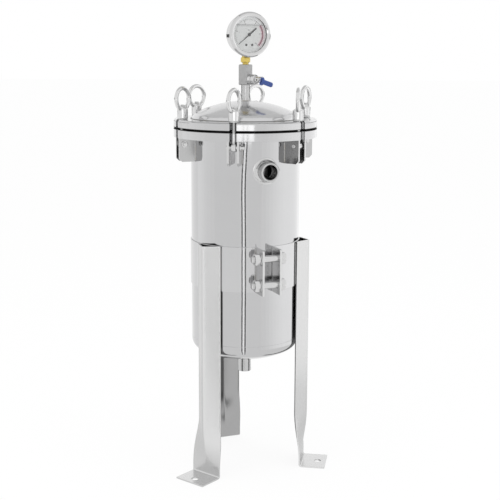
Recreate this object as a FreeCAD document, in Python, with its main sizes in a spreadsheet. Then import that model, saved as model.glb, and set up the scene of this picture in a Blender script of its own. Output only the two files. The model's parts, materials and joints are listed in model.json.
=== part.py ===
"""Bag filter housing for one size 1 filter bag, in stainless steel.

A vessel of 8 inch pipe stands on three folded legs. Six swing bolts with ring nuts close its cover, which
carries a tee with a pressure gauge and a vent ball valve. Millimetres and degrees, +Z up. The origin is the
centre of the three feet, on the floor. A piece is drawn with +X pointing outwards from the vessel's axis,
and its body is then turned to its place. Turns are counted from the front (-Y) towards the right (+X).
"""

import FreeCAD, Part
import math
import os
import re
import Sketcher

BOLT_COUNT = 6
LEG_COUNT = 3
BASKET_HOLES_ROUND = 16
BASKET_HOLE_ROWS = 8
HEXAGON_SIDES = 6
FULL_TURN = 360.0

SIZES = (
    ("shell_radius", 109.55, "outside of the pipe shell"),
    ("shell_wall", 3.0, "wall of the pipe shell"),
    ("crown_radius", 219.0, "outside radius of both dished crowns"),
    ("knuckle_radius", 22.0, "outside radius of both dished knuckles"),
    ("head_wall", 3.0, "wall of both dished heads"),
    ("head_seam_height", 275.2, "weld seam of the bottom head above the floor"),
    ("head_skirt_length", 5.8, "straight edge of the bottom head"),
    ("outlet_radius", 13.45, "outside of the bottom outlet pipe"),
    ("outlet_bore", 10.65, "bore radius of the bottom outlet pipe"),
    ("outlet_length", 31.9, "outlet pipe below the lowest point of the head"),
    ("nozzle_radius", 19.0, "outside of the inlet half coupling"),
    ("nozzle_bore", 14.3, "thread bore radius of the inlet half coupling"),
    ("nozzle_height", 625.5, "inlet axis above the floor"),
    ("nozzle_reach", 24.5, "inlet end beyond the shell"),
    ("nozzle_chamfer", 1.2, "chamfers at the inlet mouth"),
    ("nozzle_turn", 21.5, "inlet direction"),
    ("body_flange_top", 702.0, "upper face of the body flange"),
    ("body_flange_thickness", 17.0, "body flange"),
    ("lid_flange_thickness", 16.0, "cover flange"),
    ("flange_width", 34.3, "both flanges beyond the shell"),
    ("flange_chamfer", 3.0, "bevel on the cover flange's upper edge"),
    ("flange_edge", 0.8, "small bevel on the other flange edges"),
    ("gasket_thickness", 3.0, "flat gasket, compressed"),
    ("gasket_inset", 2.45, "gasket's inner edge beyond the shell"),
    ("gasket_width", 12.5, "gasket, from its inner to its outer edge"),
    ("lid_skirt_length", 8.5, "straight edge of the cover dome"),
    ("bolt_circle_inset", 12.25, "swing bolts' circle inside the flanges' edge"),
    ("front_bolt_turn", -9.4, "direction of the first swing bolt"),
    ("bolt_radius", 5.0, "swing bolt shank, 10 mm thread"),
    ("bolt_slot_clearance", 1.5, "slot's room on each side of the shank"),
    ("bolt_projection", 29.0, "bolt tip above the cover flange"),
    ("bolt_tip_bevel", 1.2, "bevel on the bolt tip"),
    ("eye_radius", 8.0, "swing bolt eye"),
    ("eye_width", 9.5, "swing bolt eye, along the pin"),
    ("pin_radius", 4.0, "hinge pin"),
    ("pin_drop", 11.7, "pin axis below the body flange"),
    ("pin_overhang", 2.4, "pin beyond the cheeks"),
    ("pin_head_radius", 6.5, "flat collar of the hinge pin"),
    ("pin_end_length", 7.0, "pin beyond its collar"),
    ("running_clearance", 0.05, "radial room of a turning or sliding fit"),
    ("cheek_gap", 15.5, "room between two cheeks"),
    ("cheek_thickness", 4.0, "cheek plate"),
    ("cheek_setback", 1.35, "outer edge of the cheeks inside the flanges' edge"),
    ("cheek_height", 46.3, "cheek plate below the body flange"),
    ("cheek_bevel", 6.0, "bevel at the lower outer corner"),
    ("washer_radius", 10.0, "washer"),
    ("washer_thickness", 2.0, "washer"),
    ("washer_gap", 0.3, "room under the washer"),
    ("nut_gap", 0.05, "room under the ring nut"),
    ("nut_radius", 10.6, "collar of the ring nut"),
    ("nut_neck_radius", 9.2, "ring nut where the ring begins"),
    ("nut_seat_radius", 7.2, "ring nut's neck at the bottom of its eye"),
    ("nut_height", 19.0, "collar of the ring nut"),
    ("nut_bevel", 1.2, "bevel under the collar"),
    ("ring_middle_radius", 20.9, "ring of the nut, to the middle of its section"),
    ("ring_section_radius", 4.1, "section of the ring"),
    ("ring_rise", 37.5, "centre of the ring above the nut's underside"),
    ("ring_turn_1", 69.4, "turn of the first ring"),
    ("ring_turn_2", 35.1, "turn of the second ring"),
    ("ring_turn_3", -45.8, "turn of the third ring"),
    ("ring_turn_4", 51.7, "turn of the fourth ring"),
    ("ring_turn_5", 175.0, "turn of the fifth ring"),
    ("ring_turn_6", 127.7, "turn of the sixth ring"),
    ("nipple_radius", 8.6, "outside of the cover nipple"),
    ("nipple_bore", 6.3, "bore radius of the cover nipple"),
    ("nipple_length", 31.0, "nipple between the dome and the tee"),
    ("nipple_thread_depth", 4.0, "how far the nipple enters the tee"),
    ("thread_depth", 8.0, "how far the brass thread enters the tee"),
    ("tee_side", 21.0, "square tee block"),
    ("tee_height", 40.3, "tee block"),
    ("tee_bevel", 2.2, "rounded upright edges of the tee block"),
    ("tee_passage", 3.0, "passage radius in the tee"),
    ("valve_turn", 54.3, "direction of the vent valve"),
    ("valve_port_rise", 10.8, "valve axis above the tee's underside"),
    ("connector_across_flats", 18.0, "brass hexagon"),
    ("connector_height", 14.0, "brass connector above the tee"),
    ("connector_foot_height", 4.0, "round foot under the brass hexagon"),
    ("connector_thread_radius", 6.5, "brass thread in the tee"),
    ("connector_neck_radius", 7.0, "neck between the hexagon and the gauge case"),
    ("connector_neck_length", 4.8, "neck between the hexagon and the gauge case"),
    ("connector_passage", 1.5, "passage radius in the connector"),
    ("gauge_turn", 23.0, "direction of the gauge's face"),
    ("gauge_case_radius", 39.0, "outside of the gauge case"),
    ("gauge_case_wall", 1.2, "wall of the gauge case"),
    ("gauge_case_back", 9.5, "case behind the stem axis"),
    ("gauge_case_corner", 5.0, "rounded back edge of the case"),
    ("gauge_case_front", 17.5, "case in front of the stem axis"),
    ("bezel_overhang", 5.0, "bezel beyond the case"),
    ("bezel_depth", 9.5, "bezel from its back edge to its front"),
    ("window_cover", 1.8, "edge of the window under the bezel's lip"),
    ("bezel_lip", 2.2, "lip of the bezel over the window"),
    ("window_inset", 2.0, "gauge window inside the case's outside"),
    ("window_thickness", 2.6, "gauge window"),
    ("dial_clearance", 1.6, "gauge dial inside the wall of its case"),
    ("dial_thickness", 0.8, "gauge dial"),
    ("dial_setback", 3.4, "dial behind the window"),
    ("pointer_turn", 220.0, "pointer at zero, counted from three o'clock"),
    ("pointer_length", 29.0, "pointer tip from the hub"),
    ("pointer_tail", 19.5, "pointer tail from the hub"),
    ("pointer_hub_radius", 3.6, "pointer hub"),
    ("pointer_width", 3.0, "pointer at the hub"),
    ("pointer_tip_width", 0.7, "pointer at the tip"),
    ("pointer_thickness", 0.8, "pointer"),
    ("pointer_gap", 0.9, "pointer in front of the dial"),
    ("pointer_shaft_radius", 0.9, "pointer shaft"),
    ("movement_width", 18.0, "gauge movement block"),
    ("movement_thickness", 6.0, "gauge movement block"),
    ("bourdon_radius", 26.0, "Bourdon tube's bend"),
    ("bourdon_section_radius", 2.2, "Bourdon tube"),
    ("bourdon_sweep", 260.0, "Bourdon tube's turn"),
    ("plug_radius", 4.5, "filling plug"),
    ("plug_rise", 2.6, "filling plug above the case"),
    ("valve_collar_radius", 10.4, "valve collar at the tee"),
    ("valve_collar_length", 15.5, "valve collar"),
    ("valve_groove_place", 7.0, "groove from the tee"),
    ("valve_groove_width", 1.2, "groove in the collar"),
    ("valve_groove_depth", 1.4, "groove in the collar"),
    ("valve_barrel_radius", 6.4, "valve barrel"),
    ("valve_barrel_length", 16.75, "valve barrel"),
    ("valve_spigot_radius", 6.0, "valve thread in the tee"),
    ("valve_spigot_length", 5.5, "valve thread in the tee"),
    ("valve_bore", 2.6, "passage radius of the valve"),
    ("valve_ball_radius", 4.2, "valve ball"),
    ("valve_ball_room", 0.1, "room round the valve ball"),
    ("valve_stem_place", 36.0, "stem from the tee's axis"),
    ("valve_stem_radius", 1.8, "valve stem"),
    ("valve_boss_radius", 4.4, "stem boss"),
    ("valve_boss_reach", 8.0, "stem boss from the valve axis"),
    ("lever_gap", 0.3, "lever off the boss"),
    ("lever_thickness", 1.2, "lever plate"),
    ("lever_width", 7.0, "lever plate"),
    ("lever_length", 36.5, "lever tip from the stem"),
    ("lever_droop", 15.8, "lever below the valve axis at rest"),
    ("sleeve_wall", 1.4, "lever sleeve"),
    ("sleeve_start", 6.6, "lever sleeve from the stem"),
    ("sleeve_shoulder_length", 6.0, "wide end of the lever sleeve"),
    ("sleeve_shoulder_width", 15.5, "wide end of the lever sleeve"),
    ("sleeve_width", 9.4, "lever sleeve"),
    ("sleeve_corner", 2.0, "bevels of the lever sleeve"),
    ("stem_nut_across_flats", 8.0, "stem nut"),
    ("stem_nut_height", 3.2, "stem nut"),
    ("seat_width", 1.6, "valve seat ring"),
    ("seat_height", 1.2, "valve seat ring"),
    ("band_thickness", 2.0, "leg band"),
    ("band_bottom", 387.0, "leg band's lower edge"),
    ("band_height", 90.5, "leg band"),
    ("clamp_turn", 21.0, "direction of the clamp"),
    ("clamp_gap", 32.0, "room between the clamp ears"),
    ("ear_thickness", 4.0, "clamp ear"),
    ("ear_width", 36.45, "clamp ears beyond the band"),
    ("ear_corner", 6.0, "rounded upper outer corner of the ears"),
    ("clamp_bolt_radius", 7.0, "clamp bolt, 14 mm thread"),
    ("clamp_bolt_offset", 22.95, "clamp bolts beyond the band"),
    ("clamp_bolt_pitch", 52.0, "clamp bolts' spacing"),
    ("clamp_hole_clearance", 0.4, "room round the clamp bolts"),
    ("clamp_across_flats", 22.0, "clamp bolt head and nut"),
    ("clamp_head_height", 8.8, "clamp bolt head"),
    ("clamp_nut_height", 11.0, "clamp nut"),
    ("clamp_washer_radius", 13.0, "clamp washer"),
    ("clamp_washer_thickness", 1.8, "clamp washer"),
    ("clamp_bolt_spare", 5.0, "clamp bolt beyond its nut"),
    ("leg_turn", -39.3, "direction of the first leg"),
    ("leg_fold_half_width", 27.4, "half the width of the folded strip"),
    ("leg_strip_width", 70.0, "leg strip laid flat"),
    ("leg_thickness", 3.0, "leg strip"),
    ("leg_flattening_height", 100.0, "where the fold begins to flatten"),
    ("foot_offset", 8.95, "inner face of the flattened strip beyond the band"),
    ("foot_bend_radius", 3.0, "inside radius of the foot's bend"),
    ("foot_length", 54.0, "foot beyond the flattened strip's inner face"),
    ("foot_hole_radius", 7.0, "foot hole"),
    ("foot_hole_inset", 17.5, "foot hole inside the foot's outer edge"),
    ("basket_seat_depth", 8.0, "shell end below the body flange's face"),
    ("basket_seal_thickness", 2.0, "seal ring under the basket's rim"),
    ("basket_rim_thickness", 3.0, "rim of the restrainer basket"),
    ("basket_rim_clearance", 0.4, "room round the rim and its seal"),
    ("basket_room", 16.55, "basket inside the shell"),
    ("basket_wall", 1.5, "restrainer basket"),
    ("basket_length", 390.0, "restrainer basket below its rim"),
    ("basket_hole_radius", 4.0, "holes of the basket"),
    ("basket_hole_pitch", 42.0, "rows of holes"),
    ("basket_hole_start", 36.0, "first row above the basket's bottom"),
    ("bag_clearance", 0.3, "bag off the basket"),
    ("bag_wall", 2.2, "felt of the bag"),
    ("bag_ring_width", 8.0, "snap ring of the bag"),
    ("bag_ring_height", 4.0, "snap ring of the bag"),
)

PLACES = {
    "gasket_top": "body_flange_top + gasket_thickness",
    "lid_top": "gasket_top + lid_flange_thickness",
    "flange_underside": "body_flange_top - body_flange_thickness",
    "shell_inside": "shell_radius - shell_wall",
    "flange_radius": "shell_radius + flange_width",
    "gasket_inside": "shell_radius + gasket_inset",
    "gasket_outside": "gasket_inside + gasket_width",
    "bolt_circle_radius": "flange_radius - bolt_circle_inset",
    "shell_top": "body_flange_top - basket_seat_depth",
    "knuckle_place": "shell_radius - knuckle_radius",
    "crown_to_knuckle": "crown_radius - knuckle_radius",
    "knuckle_rise": "sqrt(crown_to_knuckle^2 - knuckle_place^2)",
    "dish_depth": "crown_radius - knuckle_rise",
    "head_tangent": "head_seam_height - head_skirt_length",
    "lid_tangent": "gasket_top + lid_skirt_length",
    "lid_apex": "lid_tangent + dish_depth",
    "head_apex": "head_tangent - dish_depth",
    "outlet_bottom": "head_apex - outlet_length",
    "nozzle_root": "sqrt(shell_inside^2 - nozzle_radius^2)",
    "nozzle_end": "shell_radius + nozzle_reach",
    "slot_half_width": "bolt_radius + bolt_slot_clearance",
    "pin_height": "flange_underside - pin_drop",
    "cheek_bottom": "flange_underside - cheek_height",
    "cheek_outside": "cheek_gap / 2 + cheek_thickness",
    "cheek_reach": "flange_radius - cheek_setback",
    "cheek_root": "sqrt(shell_radius^2 - (cheek_gap / 2)^2)",
    "pin_half_length": "cheek_outside + pin_overhang",
    "washer_bottom": "lid_top + washer_gap",
    "nut_bottom": "washer_bottom + washer_thickness + nut_gap",
    "nut_top": "nut_bottom + nut_height",
    "ring_centre": "nut_bottom + ring_rise",
    "eye_bottom": "ring_centre - ring_middle_radius + ring_section_radius",
    "bolt_tip": "lid_top + bolt_projection",
    "nut_bore": "bolt_radius + running_clearance",
    "tee_bottom": "lid_apex + nipple_length",
    "tee_top": "tee_bottom + tee_height",
    "tee_half": "tee_side / 2",
    "valve_height": "tee_bottom + valve_port_rise",
    "connector_top": "tee_top + connector_height",
    "gauge_centre": "connector_top + connector_neck_length + gauge_case_radius",
    "bezel_radius": "gauge_case_radius + bezel_overhang",
    "window_radius": "gauge_case_radius - window_inset",
    "bezel_opening": "window_radius - window_cover",
    "dial_radius": "gauge_case_radius - gauge_case_wall - dial_clearance",
    "bezel_front": "gauge_case_front - gauge_case_wall + bezel_depth",
    "bezel_back": "gauge_case_front - gauge_case_wall",
    "window_front": "bezel_front - bezel_lip",
    "window_back": "window_front - window_thickness",
    "dial_front": "window_back - dial_setback",
    "dial_back": "dial_front - dial_thickness",
    "pointer_back": "dial_front + pointer_gap",
    "valve_root": "tee_half - valve_spigot_length",
    "valve_collar_end": "tee_half + valve_collar_length",
    "valve_end": "valve_collar_end + valve_barrel_length",
    "ball_room": "valve_ball_radius + valve_ball_room",
    "lever_back": "valve_boss_reach + lever_gap",
    "lever_front": "lever_back + lever_thickness",
    "band_radius": "shell_radius + band_thickness",
    "band_top": "band_bottom + band_height",
    "clamp_middle": "band_bottom + band_height / 2",
    "ear_outside": "clamp_gap / 2 + ear_thickness",
    "ear_reach": "band_radius + ear_width",
    "clamp_bolt_reach": "band_radius + clamp_bolt_offset",
    "ear_root": "sqrt(band_radius^2 - (clamp_gap / 2)^2)",
    "washer_outside": "ear_outside + clamp_washer_thickness",
    "leg_fold_depth": "sqrt((leg_strip_width / 2)^2 - leg_fold_half_width^2)",
    "leg_edge": "sqrt(band_radius^2 - leg_fold_half_width^2)",
    "leg_fold_outside": "leg_thickness * leg_strip_width / (2 * leg_fold_half_width)",
    "foot_bend_outside": "foot_bend_radius + leg_thickness",
    "foot_place": "band_radius + foot_offset",
    "foot_reach": "foot_place + foot_length",
    "foot_hole_circle": "foot_reach - foot_hole_inset",
    "basket_radius": "shell_inside - basket_room",
    "basket_rim_bottom": "shell_top + basket_seal_thickness",
    "basket_rim_top": "basket_rim_bottom + basket_rim_thickness",
    "basket_bottom": "basket_rim_bottom - basket_length",
    "rim_radius": "shell_radius - basket_rim_clearance",
    "bag_radius": "basket_radius - basket_wall - bag_clearance",
    "bag_bottom": "basket_bottom + basket_wall + bag_clearance",
}

document = FreeCAD.newDocument("bag_filter_housing")
sheet = document.addObject("Spreadsheet::Sheet", "Sizes")
SIZE_NAMES = {alias for alias, _, _ in SIZES}
WORD = re.compile(r"[a-z][a-z_0-9]+")
bodies = []


def fill_sheet():
    """Write every driving size into the sheet, with its alias and what it measures."""
    for row, (alias, size, note) in enumerate(SIZES, 1):
        sheet.set(f"A{row}", alias)
        sheet.set(f"B{row}", str(size))
        sheet.set(f"C{row}", note)
        sheet.setAlias(f"B{row}", alias)
    document.recompute()


def bound(text):
    """An expression of the document, from one that is written in size and place names."""
    def swap(match):
        word = match.group()
        if word in PLACES:
            return "(" + bound(PLACES[word]) + ")"
        return "Sizes." + word if word in SIZE_NAMES else word
    return WORD.sub(swap, str(text))


def number(text):
    """The value of an expression in size and place names."""
    result = sheet.evalExpression(bound(text))
    return float(getattr(result, "Value", result))


def tie(item, field, text):
    """Bind one property of a document object to the sheet."""
    item.setExpression(field, bound(text))


def origin_of(body, role):
    """The body's own origin plane or axis that has this role."""
    return next(item for item in body.Origin.OriginFeatures if item.Role == role)


def place(item, turn="0", outwards="0", sideways="0", height="0"):
    """Turn a piece about the vertical, and set it outwards, sideways and up from the origin."""
    angle = f"({turn})"
    tie(item, "Placement.Rotation.Angle", angle)
    tie(item, "Placement.Base.x", f"({outwards}) * cos{angle} - ({sideways}) * sin{angle}")
    tie(item, "Placement.Base.y", f"({outwards}) * sin{angle} + ({sideways}) * cos{angle}")
    tie(item, "Placement.Base.z", height)


def facing(turn):
    """The turn about Z that takes +X to a direction counted from the front."""
    return f"{turn} - 90"


def new_body(label, **where):
    """An empty body of the document, in its place."""
    body = document.addObject("PartDesign::Body", label)
    body.Label = label
    place(body, **where)
    bodies.append(body)
    return body


def new_sketch(body, name, plane, offset):
    """An empty sketch on one of the body's origin planes, moved along the plane's normal."""
    sketch = body.newObject("Sketcher::SketchObject", f"{body.Name}_{name}_outline")
    sketch.AttachmentSupport = [(origin_of(body, plane), "")]
    sketch.MapMode = "FlatFace"
    tie(sketch, "AttachmentOffset.Base.z", offset)
    return sketch


def fix(sketch, edge, end, kind, text):
    """Fix one coordinate of an edge's end, on the axis where it is zero."""
    if text == "0":
        axis = -2 if kind == "DistanceX" else -1
        sketch.addConstraint(Sketcher.Constraint("PointOnObject", edge, end, axis))
        return
    index = sketch.addConstraint(Sketcher.Constraint(kind, -1, 1, edge, end, number(text)))
    tie(sketch, f"Constraints[{index}]", text)


def arc_between(start, end, radius, turning):
    """The shorter arc between two points, turning left (ccw) or right (cw)."""
    chord = end - start
    middle = (start + end) / 2
    height = math.sqrt(max(radius ** 2 - (chord.Length / 2) ** 2, 0.0))
    left = FreeCAD.Vector(-chord.y, chord.x, 0).normalize()
    centre = middle + left * (height if turning == "ccw" else -height)
    first, last = (start, end) if turning == "ccw" else (end, start)
    angles = [math.atan2(point.y - centre.y, point.x - centre.x) for point in (first, last)]
    circle = Part.Circle(centre, FreeCAD.Vector(0, 0, 1), radius)
    return Part.ArcOfCircle(circle, angles[0], angles[1])


def draw_outline(sketch, corners):
    """Draw a closed outline. A corner with a radius and a sense starts an arc."""
    points = [FreeCAD.Vector(number(corner[0]), number(corner[1]), 0) for corner in corners]
    ends = []
    first_edge = sketch.GeometryCount
    for index, corner in enumerate(corners):
        start = points[index]
        end = points[(index + 1) % len(points)]
        if len(corner) == 2:
            sketch.addGeometry(Part.LineSegment(start, end), False)
            ends.append((1, 2))
        else:
            sketch.addGeometry(arc_between(start, end, number(corner[2]), corner[3]), False)
            ends.append((1, 2) if corner[3] == "ccw" else (2, 1))
    for index, corner in enumerate(corners):
        edge = first_edge + index
        after = (index + 1) % len(corners)
        joint = Sketcher.Constraint("Coincident", edge, ends[index][1], first_edge + after, ends[after][0])
        sketch.addConstraint(joint)
    for index, corner in enumerate(corners):
        edge = first_edge + index
        fix(sketch, edge, ends[index][0], "DistanceX", corner[0])
        fix(sketch, edge, ends[index][0], "DistanceY", corner[1])
        if len(corner) > 2:
            mark = sketch.addConstraint(Sketcher.Constraint("Radius", edge, number(corner[2])))
            tie(sketch, f"Constraints[{mark}]", corner[2])


def draw_circle(sketch, across, up, radius):
    """Draw a circle with its centre and radius bound to the sheet."""
    centre = FreeCAD.Vector(number(across), number(up), 0)
    edge = sketch.addGeometry(Part.Circle(centre, FreeCAD.Vector(0, 0, 1), number(radius)), False)
    fix(sketch, edge, 3, "DistanceX", across)
    fix(sketch, edge, 3, "DistanceY", up)
    mark = sketch.addConstraint(Sketcher.Constraint("Radius", edge, number(radius)))
    tie(sketch, f"Constraints[{mark}]", radius)


def sketched(body, name, plane, shape, offset="0"):
    """A sketch of a list of corners, or of a circle given as (across, up, radius)."""
    sketch = new_sketch(body, name, plane, offset)
    if isinstance(shape, tuple):
        draw_circle(sketch, *shape)
    else:
        draw_outline(sketch, shape)
    return sketch


def checked(body, feature, volume_before=None):
    """Recompute, and see that a cut has really taken material away."""
    body.Tip = feature
    document.recompute()
    if volume_before is not None and feature.Shape.Volume >= volume_before:
        raise ValueError(f"{feature.Name} cuts nothing")
    return feature


def revolve(body, name, corners, axis="V_Axis", plane="XZ_Plane", offset="0", sweep="360"):
    """A solid of revolution about an axis of its sketch."""
    sketch = sketched(body, name, plane, corners, offset)
    feature = body.newObject("PartDesign::Revolution", f"{body.Name}_{name}")
    feature.Profile = sketch
    feature.ReferenceAxis = (sketch, [axis])
    tie(feature, "Angle", sweep)
    return checked(body, feature)


def pad(body, name, shape, length, plane="XY_Plane", offset="0", midplane=False):
    """A straight solid along the normal of its sketch's plane."""
    sketch = sketched(body, name, plane, shape, offset)
    feature = body.newObject("PartDesign::Pad", f"{body.Name}_{name}")
    feature.Profile = sketch
    feature.Midplane = midplane
    tie(feature, "Length", length)
    return checked(body, feature)


def pocket(body, name, shape, length, plane="XY_Plane", offset="0", midplane=False):
    """A straight cut against the normal of its sketch's plane, or to both sides of it."""
    volume_before = body.Tip.Shape.Volume
    sketch = sketched(body, name, plane, shape, offset)
    feature = body.newObject("PartDesign::Pocket", f"{body.Name}_{name}")
    feature.Profile = sketch
    feature.Midplane = midplane
    tie(feature, "Length", length)
    return checked(body, feature, volume_before)


def repeat_round(body, features, count):
    """Repeat features round the vertical axis of their body."""
    pattern = body.newObject("PartDesign::PolarPattern", f"{body.Name}_round_{features[0].Name}")
    pattern.Originals = features
    pattern.Axis = (origin_of(body, "Z_Axis"), [""])
    pattern.Angle = FULL_TURN
    pattern.Occurrences = count
    return checked(body, pattern)


def repeat_up(body, features, count, length):
    """Repeat features upwards over a length."""
    pattern = body.newObject("PartDesign::LinearPattern", f"{body.Name}_up_{features[0].Name}")
    pattern.Originals = features
    pattern.Direction = (origin_of(body, "Z_Axis"), [""])
    tie(pattern, "Length", length)
    pattern.Occurrences = count
    return checked(body, pattern)


def box_corners(left, right, low, high):
    """The corners of an upright rectangle."""
    return [(left, low), (right, low), (right, high), (left, high)]


def hexagon(across_flats, across="0", up="0"):
    """The corners of a hexagon with two upright flats, about a point."""
    corner = f"({across_flats} / 2 / cos(30))"
    turns = [str(30 + 60 * side) for side in range(HEXAGON_SIDES)]
    return [(f"{across} + {corner} * cos({turn})", f"{up} + {corner} * sin({turn})") for turn in turns]


def inclined(along, above, turn, across="0", up="0"):
    """A point of a strip that leaves a centre at a turn: its place along and above the strip's line."""
    return (f"{across} + ({along}) * cos({turn}) - ({above}) * sin({turn})",
            f"{up} + ({along}) * sin({turn}) + ({above}) * cos({turn})")


def dish(tangent, skirt_end, bulge):
    """The wall of a dished head: crown arc, knuckle arc and straight skirt. The bulge is + up or - down."""
    outside = ("cw", "ccw") if bulge == "+" else ("ccw", "cw")
    share = "(knuckle_place / crown_to_knuckle)"
    lift = "(knuckle_rise / crown_to_knuckle)"

    def crown_end(radius):
        return f"({radius}) * {share}", f"{tangent} {bulge} (({radius}) * {lift} - knuckle_rise)"

    inner_crown = "crown_radius - head_wall"
    return [
        ("0", f"{tangent} {bulge} dish_depth", "crown_radius", outside[0]),
        (*crown_end("crown_radius"), "knuckle_radius", outside[0]),
        ("shell_radius", tangent),
        ("shell_radius", skirt_end),
        ("shell_radius - head_wall", skirt_end),
        ("shell_radius - head_wall", tangent, "knuckle_radius - head_wall", outside[1]),
        (*crown_end(inner_crown), inner_crown, outside[1]),
        ("0", f"{tangent} {bulge} (dish_depth - head_wall)"),
    ]


def make_vessel():
    """Shell, bottom head, outlet stub and inlet nozzle."""
    shell = new_body("vessel_shell", turn=facing("nozzle_turn"))
    revolve(shell, "tube", box_corners("shell_inside", "shell_radius", "head_seam_height", "shell_top"))
    hole = ("0", "nozzle_height", "nozzle_radius")
    pocket(shell, "inlet", hole, "nozzle_radius + shell_wall", "YZ_Plane", offset="shell_radius + shell_wall")

    head = new_body("bottom_head")
    revolve(head, "wall", dish("head_tangent", "head_seam_height", "-"))
    pocket(head, "hole", ("0", "0", "outlet_radius"), "dish_depth", offset="head_tangent")

    outlet = new_body("bottom_outlet")
    revolve(outlet, "pipe", box_corners("outlet_bore", "outlet_radius", "outlet_bottom",
                                        "head_apex + head_wall"))

    nozzle = new_body("inlet_nozzle", turn=facing("nozzle_turn"), height="nozzle_height")
    revolve(nozzle, "coupling", [
        ("nozzle_root", "nozzle_bore"),
        ("nozzle_end - nozzle_chamfer", "nozzle_bore"),
        ("nozzle_end", "nozzle_bore + nozzle_chamfer"),
        ("nozzle_end", "nozzle_radius - nozzle_chamfer"),
        ("nozzle_end - nozzle_chamfer", "nozzle_radius"),
        ("nozzle_root", "nozzle_radius"),
    ], axis="H_Axis")


def cut_bolt_slots(body, middle):
    """Six slots, open at the flange's edge, for the swing bolts."""
    depth = "(body_flange_thickness + lid_flange_thickness) * 2"
    outline = box_corners("bolt_circle_radius", "flange_radius + bolt_radius",
                          "0 - slot_half_width", "slot_half_width")
    slot = pocket(body, "slot", outline, depth, offset=middle, midplane=True)
    round_end = ("bolt_circle_radius", "0", "slot_half_width")
    end = pocket(body, "slot_end", round_end, depth, offset=middle, midplane=True)
    repeat_round(body, [slot, end], BOLT_COUNT)


def make_closure():
    """Body flange, gasket, cover flange and cover dome."""
    turn = facing("front_bolt_turn")
    body_flange = new_body("body_flange", turn=turn)
    revolve(body_flange, "ring", [
        ("shell_radius", "flange_underside"),
        ("flange_radius - flange_edge", "flange_underside"),
        ("flange_radius", "flange_underside + flange_edge"),
        ("flange_radius", "body_flange_top - flange_edge"),
        ("flange_radius - flange_edge", "body_flange_top"),
        ("shell_radius", "body_flange_top"),
    ])
    cut_bolt_slots(body_flange, "flange_underside")

    gasket = new_body("lid_gasket")
    revolve(gasket, "ring", box_corners("gasket_inside", "gasket_outside", "body_flange_top", "gasket_top"))

    lid_flange = new_body("lid_flange", turn=turn)
    revolve(lid_flange, "ring", [
        ("shell_radius", "gasket_top"),
        ("flange_radius - flange_edge", "gasket_top"),
        ("flange_radius", "gasket_top + flange_edge"),
        ("flange_radius", "lid_top - flange_chamfer"),
        ("flange_radius - flange_chamfer", "lid_top"),
        ("shell_radius", "lid_top"),
    ])
    cut_bolt_slots(lid_flange, "lid_top")

    dome = new_body("lid_dome")
    revolve(dome, "wall", dish("lid_tangent", "gasket_top", "+"))
    pocket(dome, "hole", ("0", "0", "nipple_radius"), "dish_depth", offset="lid_apex + head_wall")


def make_hinges():
    """Cheek plates and hinge pins of the six swing bolts."""
    turn = facing("front_bolt_turn")
    lugs = new_body("hinge_lugs", turn=turn)
    cheek = [
        ("cheek_root", "cheek_bottom"),
        ("cheek_reach - cheek_bevel", "cheek_bottom"),
        ("cheek_reach", "cheek_bottom + cheek_bevel"),
        ("cheek_reach", "flange_underside"),
        ("cheek_root", "flange_underside"),
    ]
    pair = [
        pad(lugs, "near_cheek", cheek, "cheek_thickness", "XZ_Plane", offset="cheek_gap / 2"),
        pad(lugs, "far_cheek", cheek, "cheek_thickness", "XZ_Plane", offset="0 - cheek_outside"),
    ]
    hole = ("bolt_circle_radius", "pin_height", "pin_radius")
    pair.append(pocket(lugs, "pin_hole", hole, "cheek_outside * 3", "XZ_Plane", midplane=True))
    repeat_round(lugs, pair, BOLT_COUNT)

    pins = new_body("hinge_pins", turn=turn)
    pin = pad(pins, "pin", hole, "pin_half_length * 2 + pin_end_length", "XZ_Plane",
              offset="0 - pin_half_length - pin_end_length")
    head_shape = ("bolt_circle_radius", "pin_height", "pin_head_radius")
    head = pad(pins, "head", head_shape, "pin_overhang", "XZ_Plane", offset="0 - pin_half_length")
    repeat_round(pins, [pin, head], BOLT_COUNT)


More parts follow.
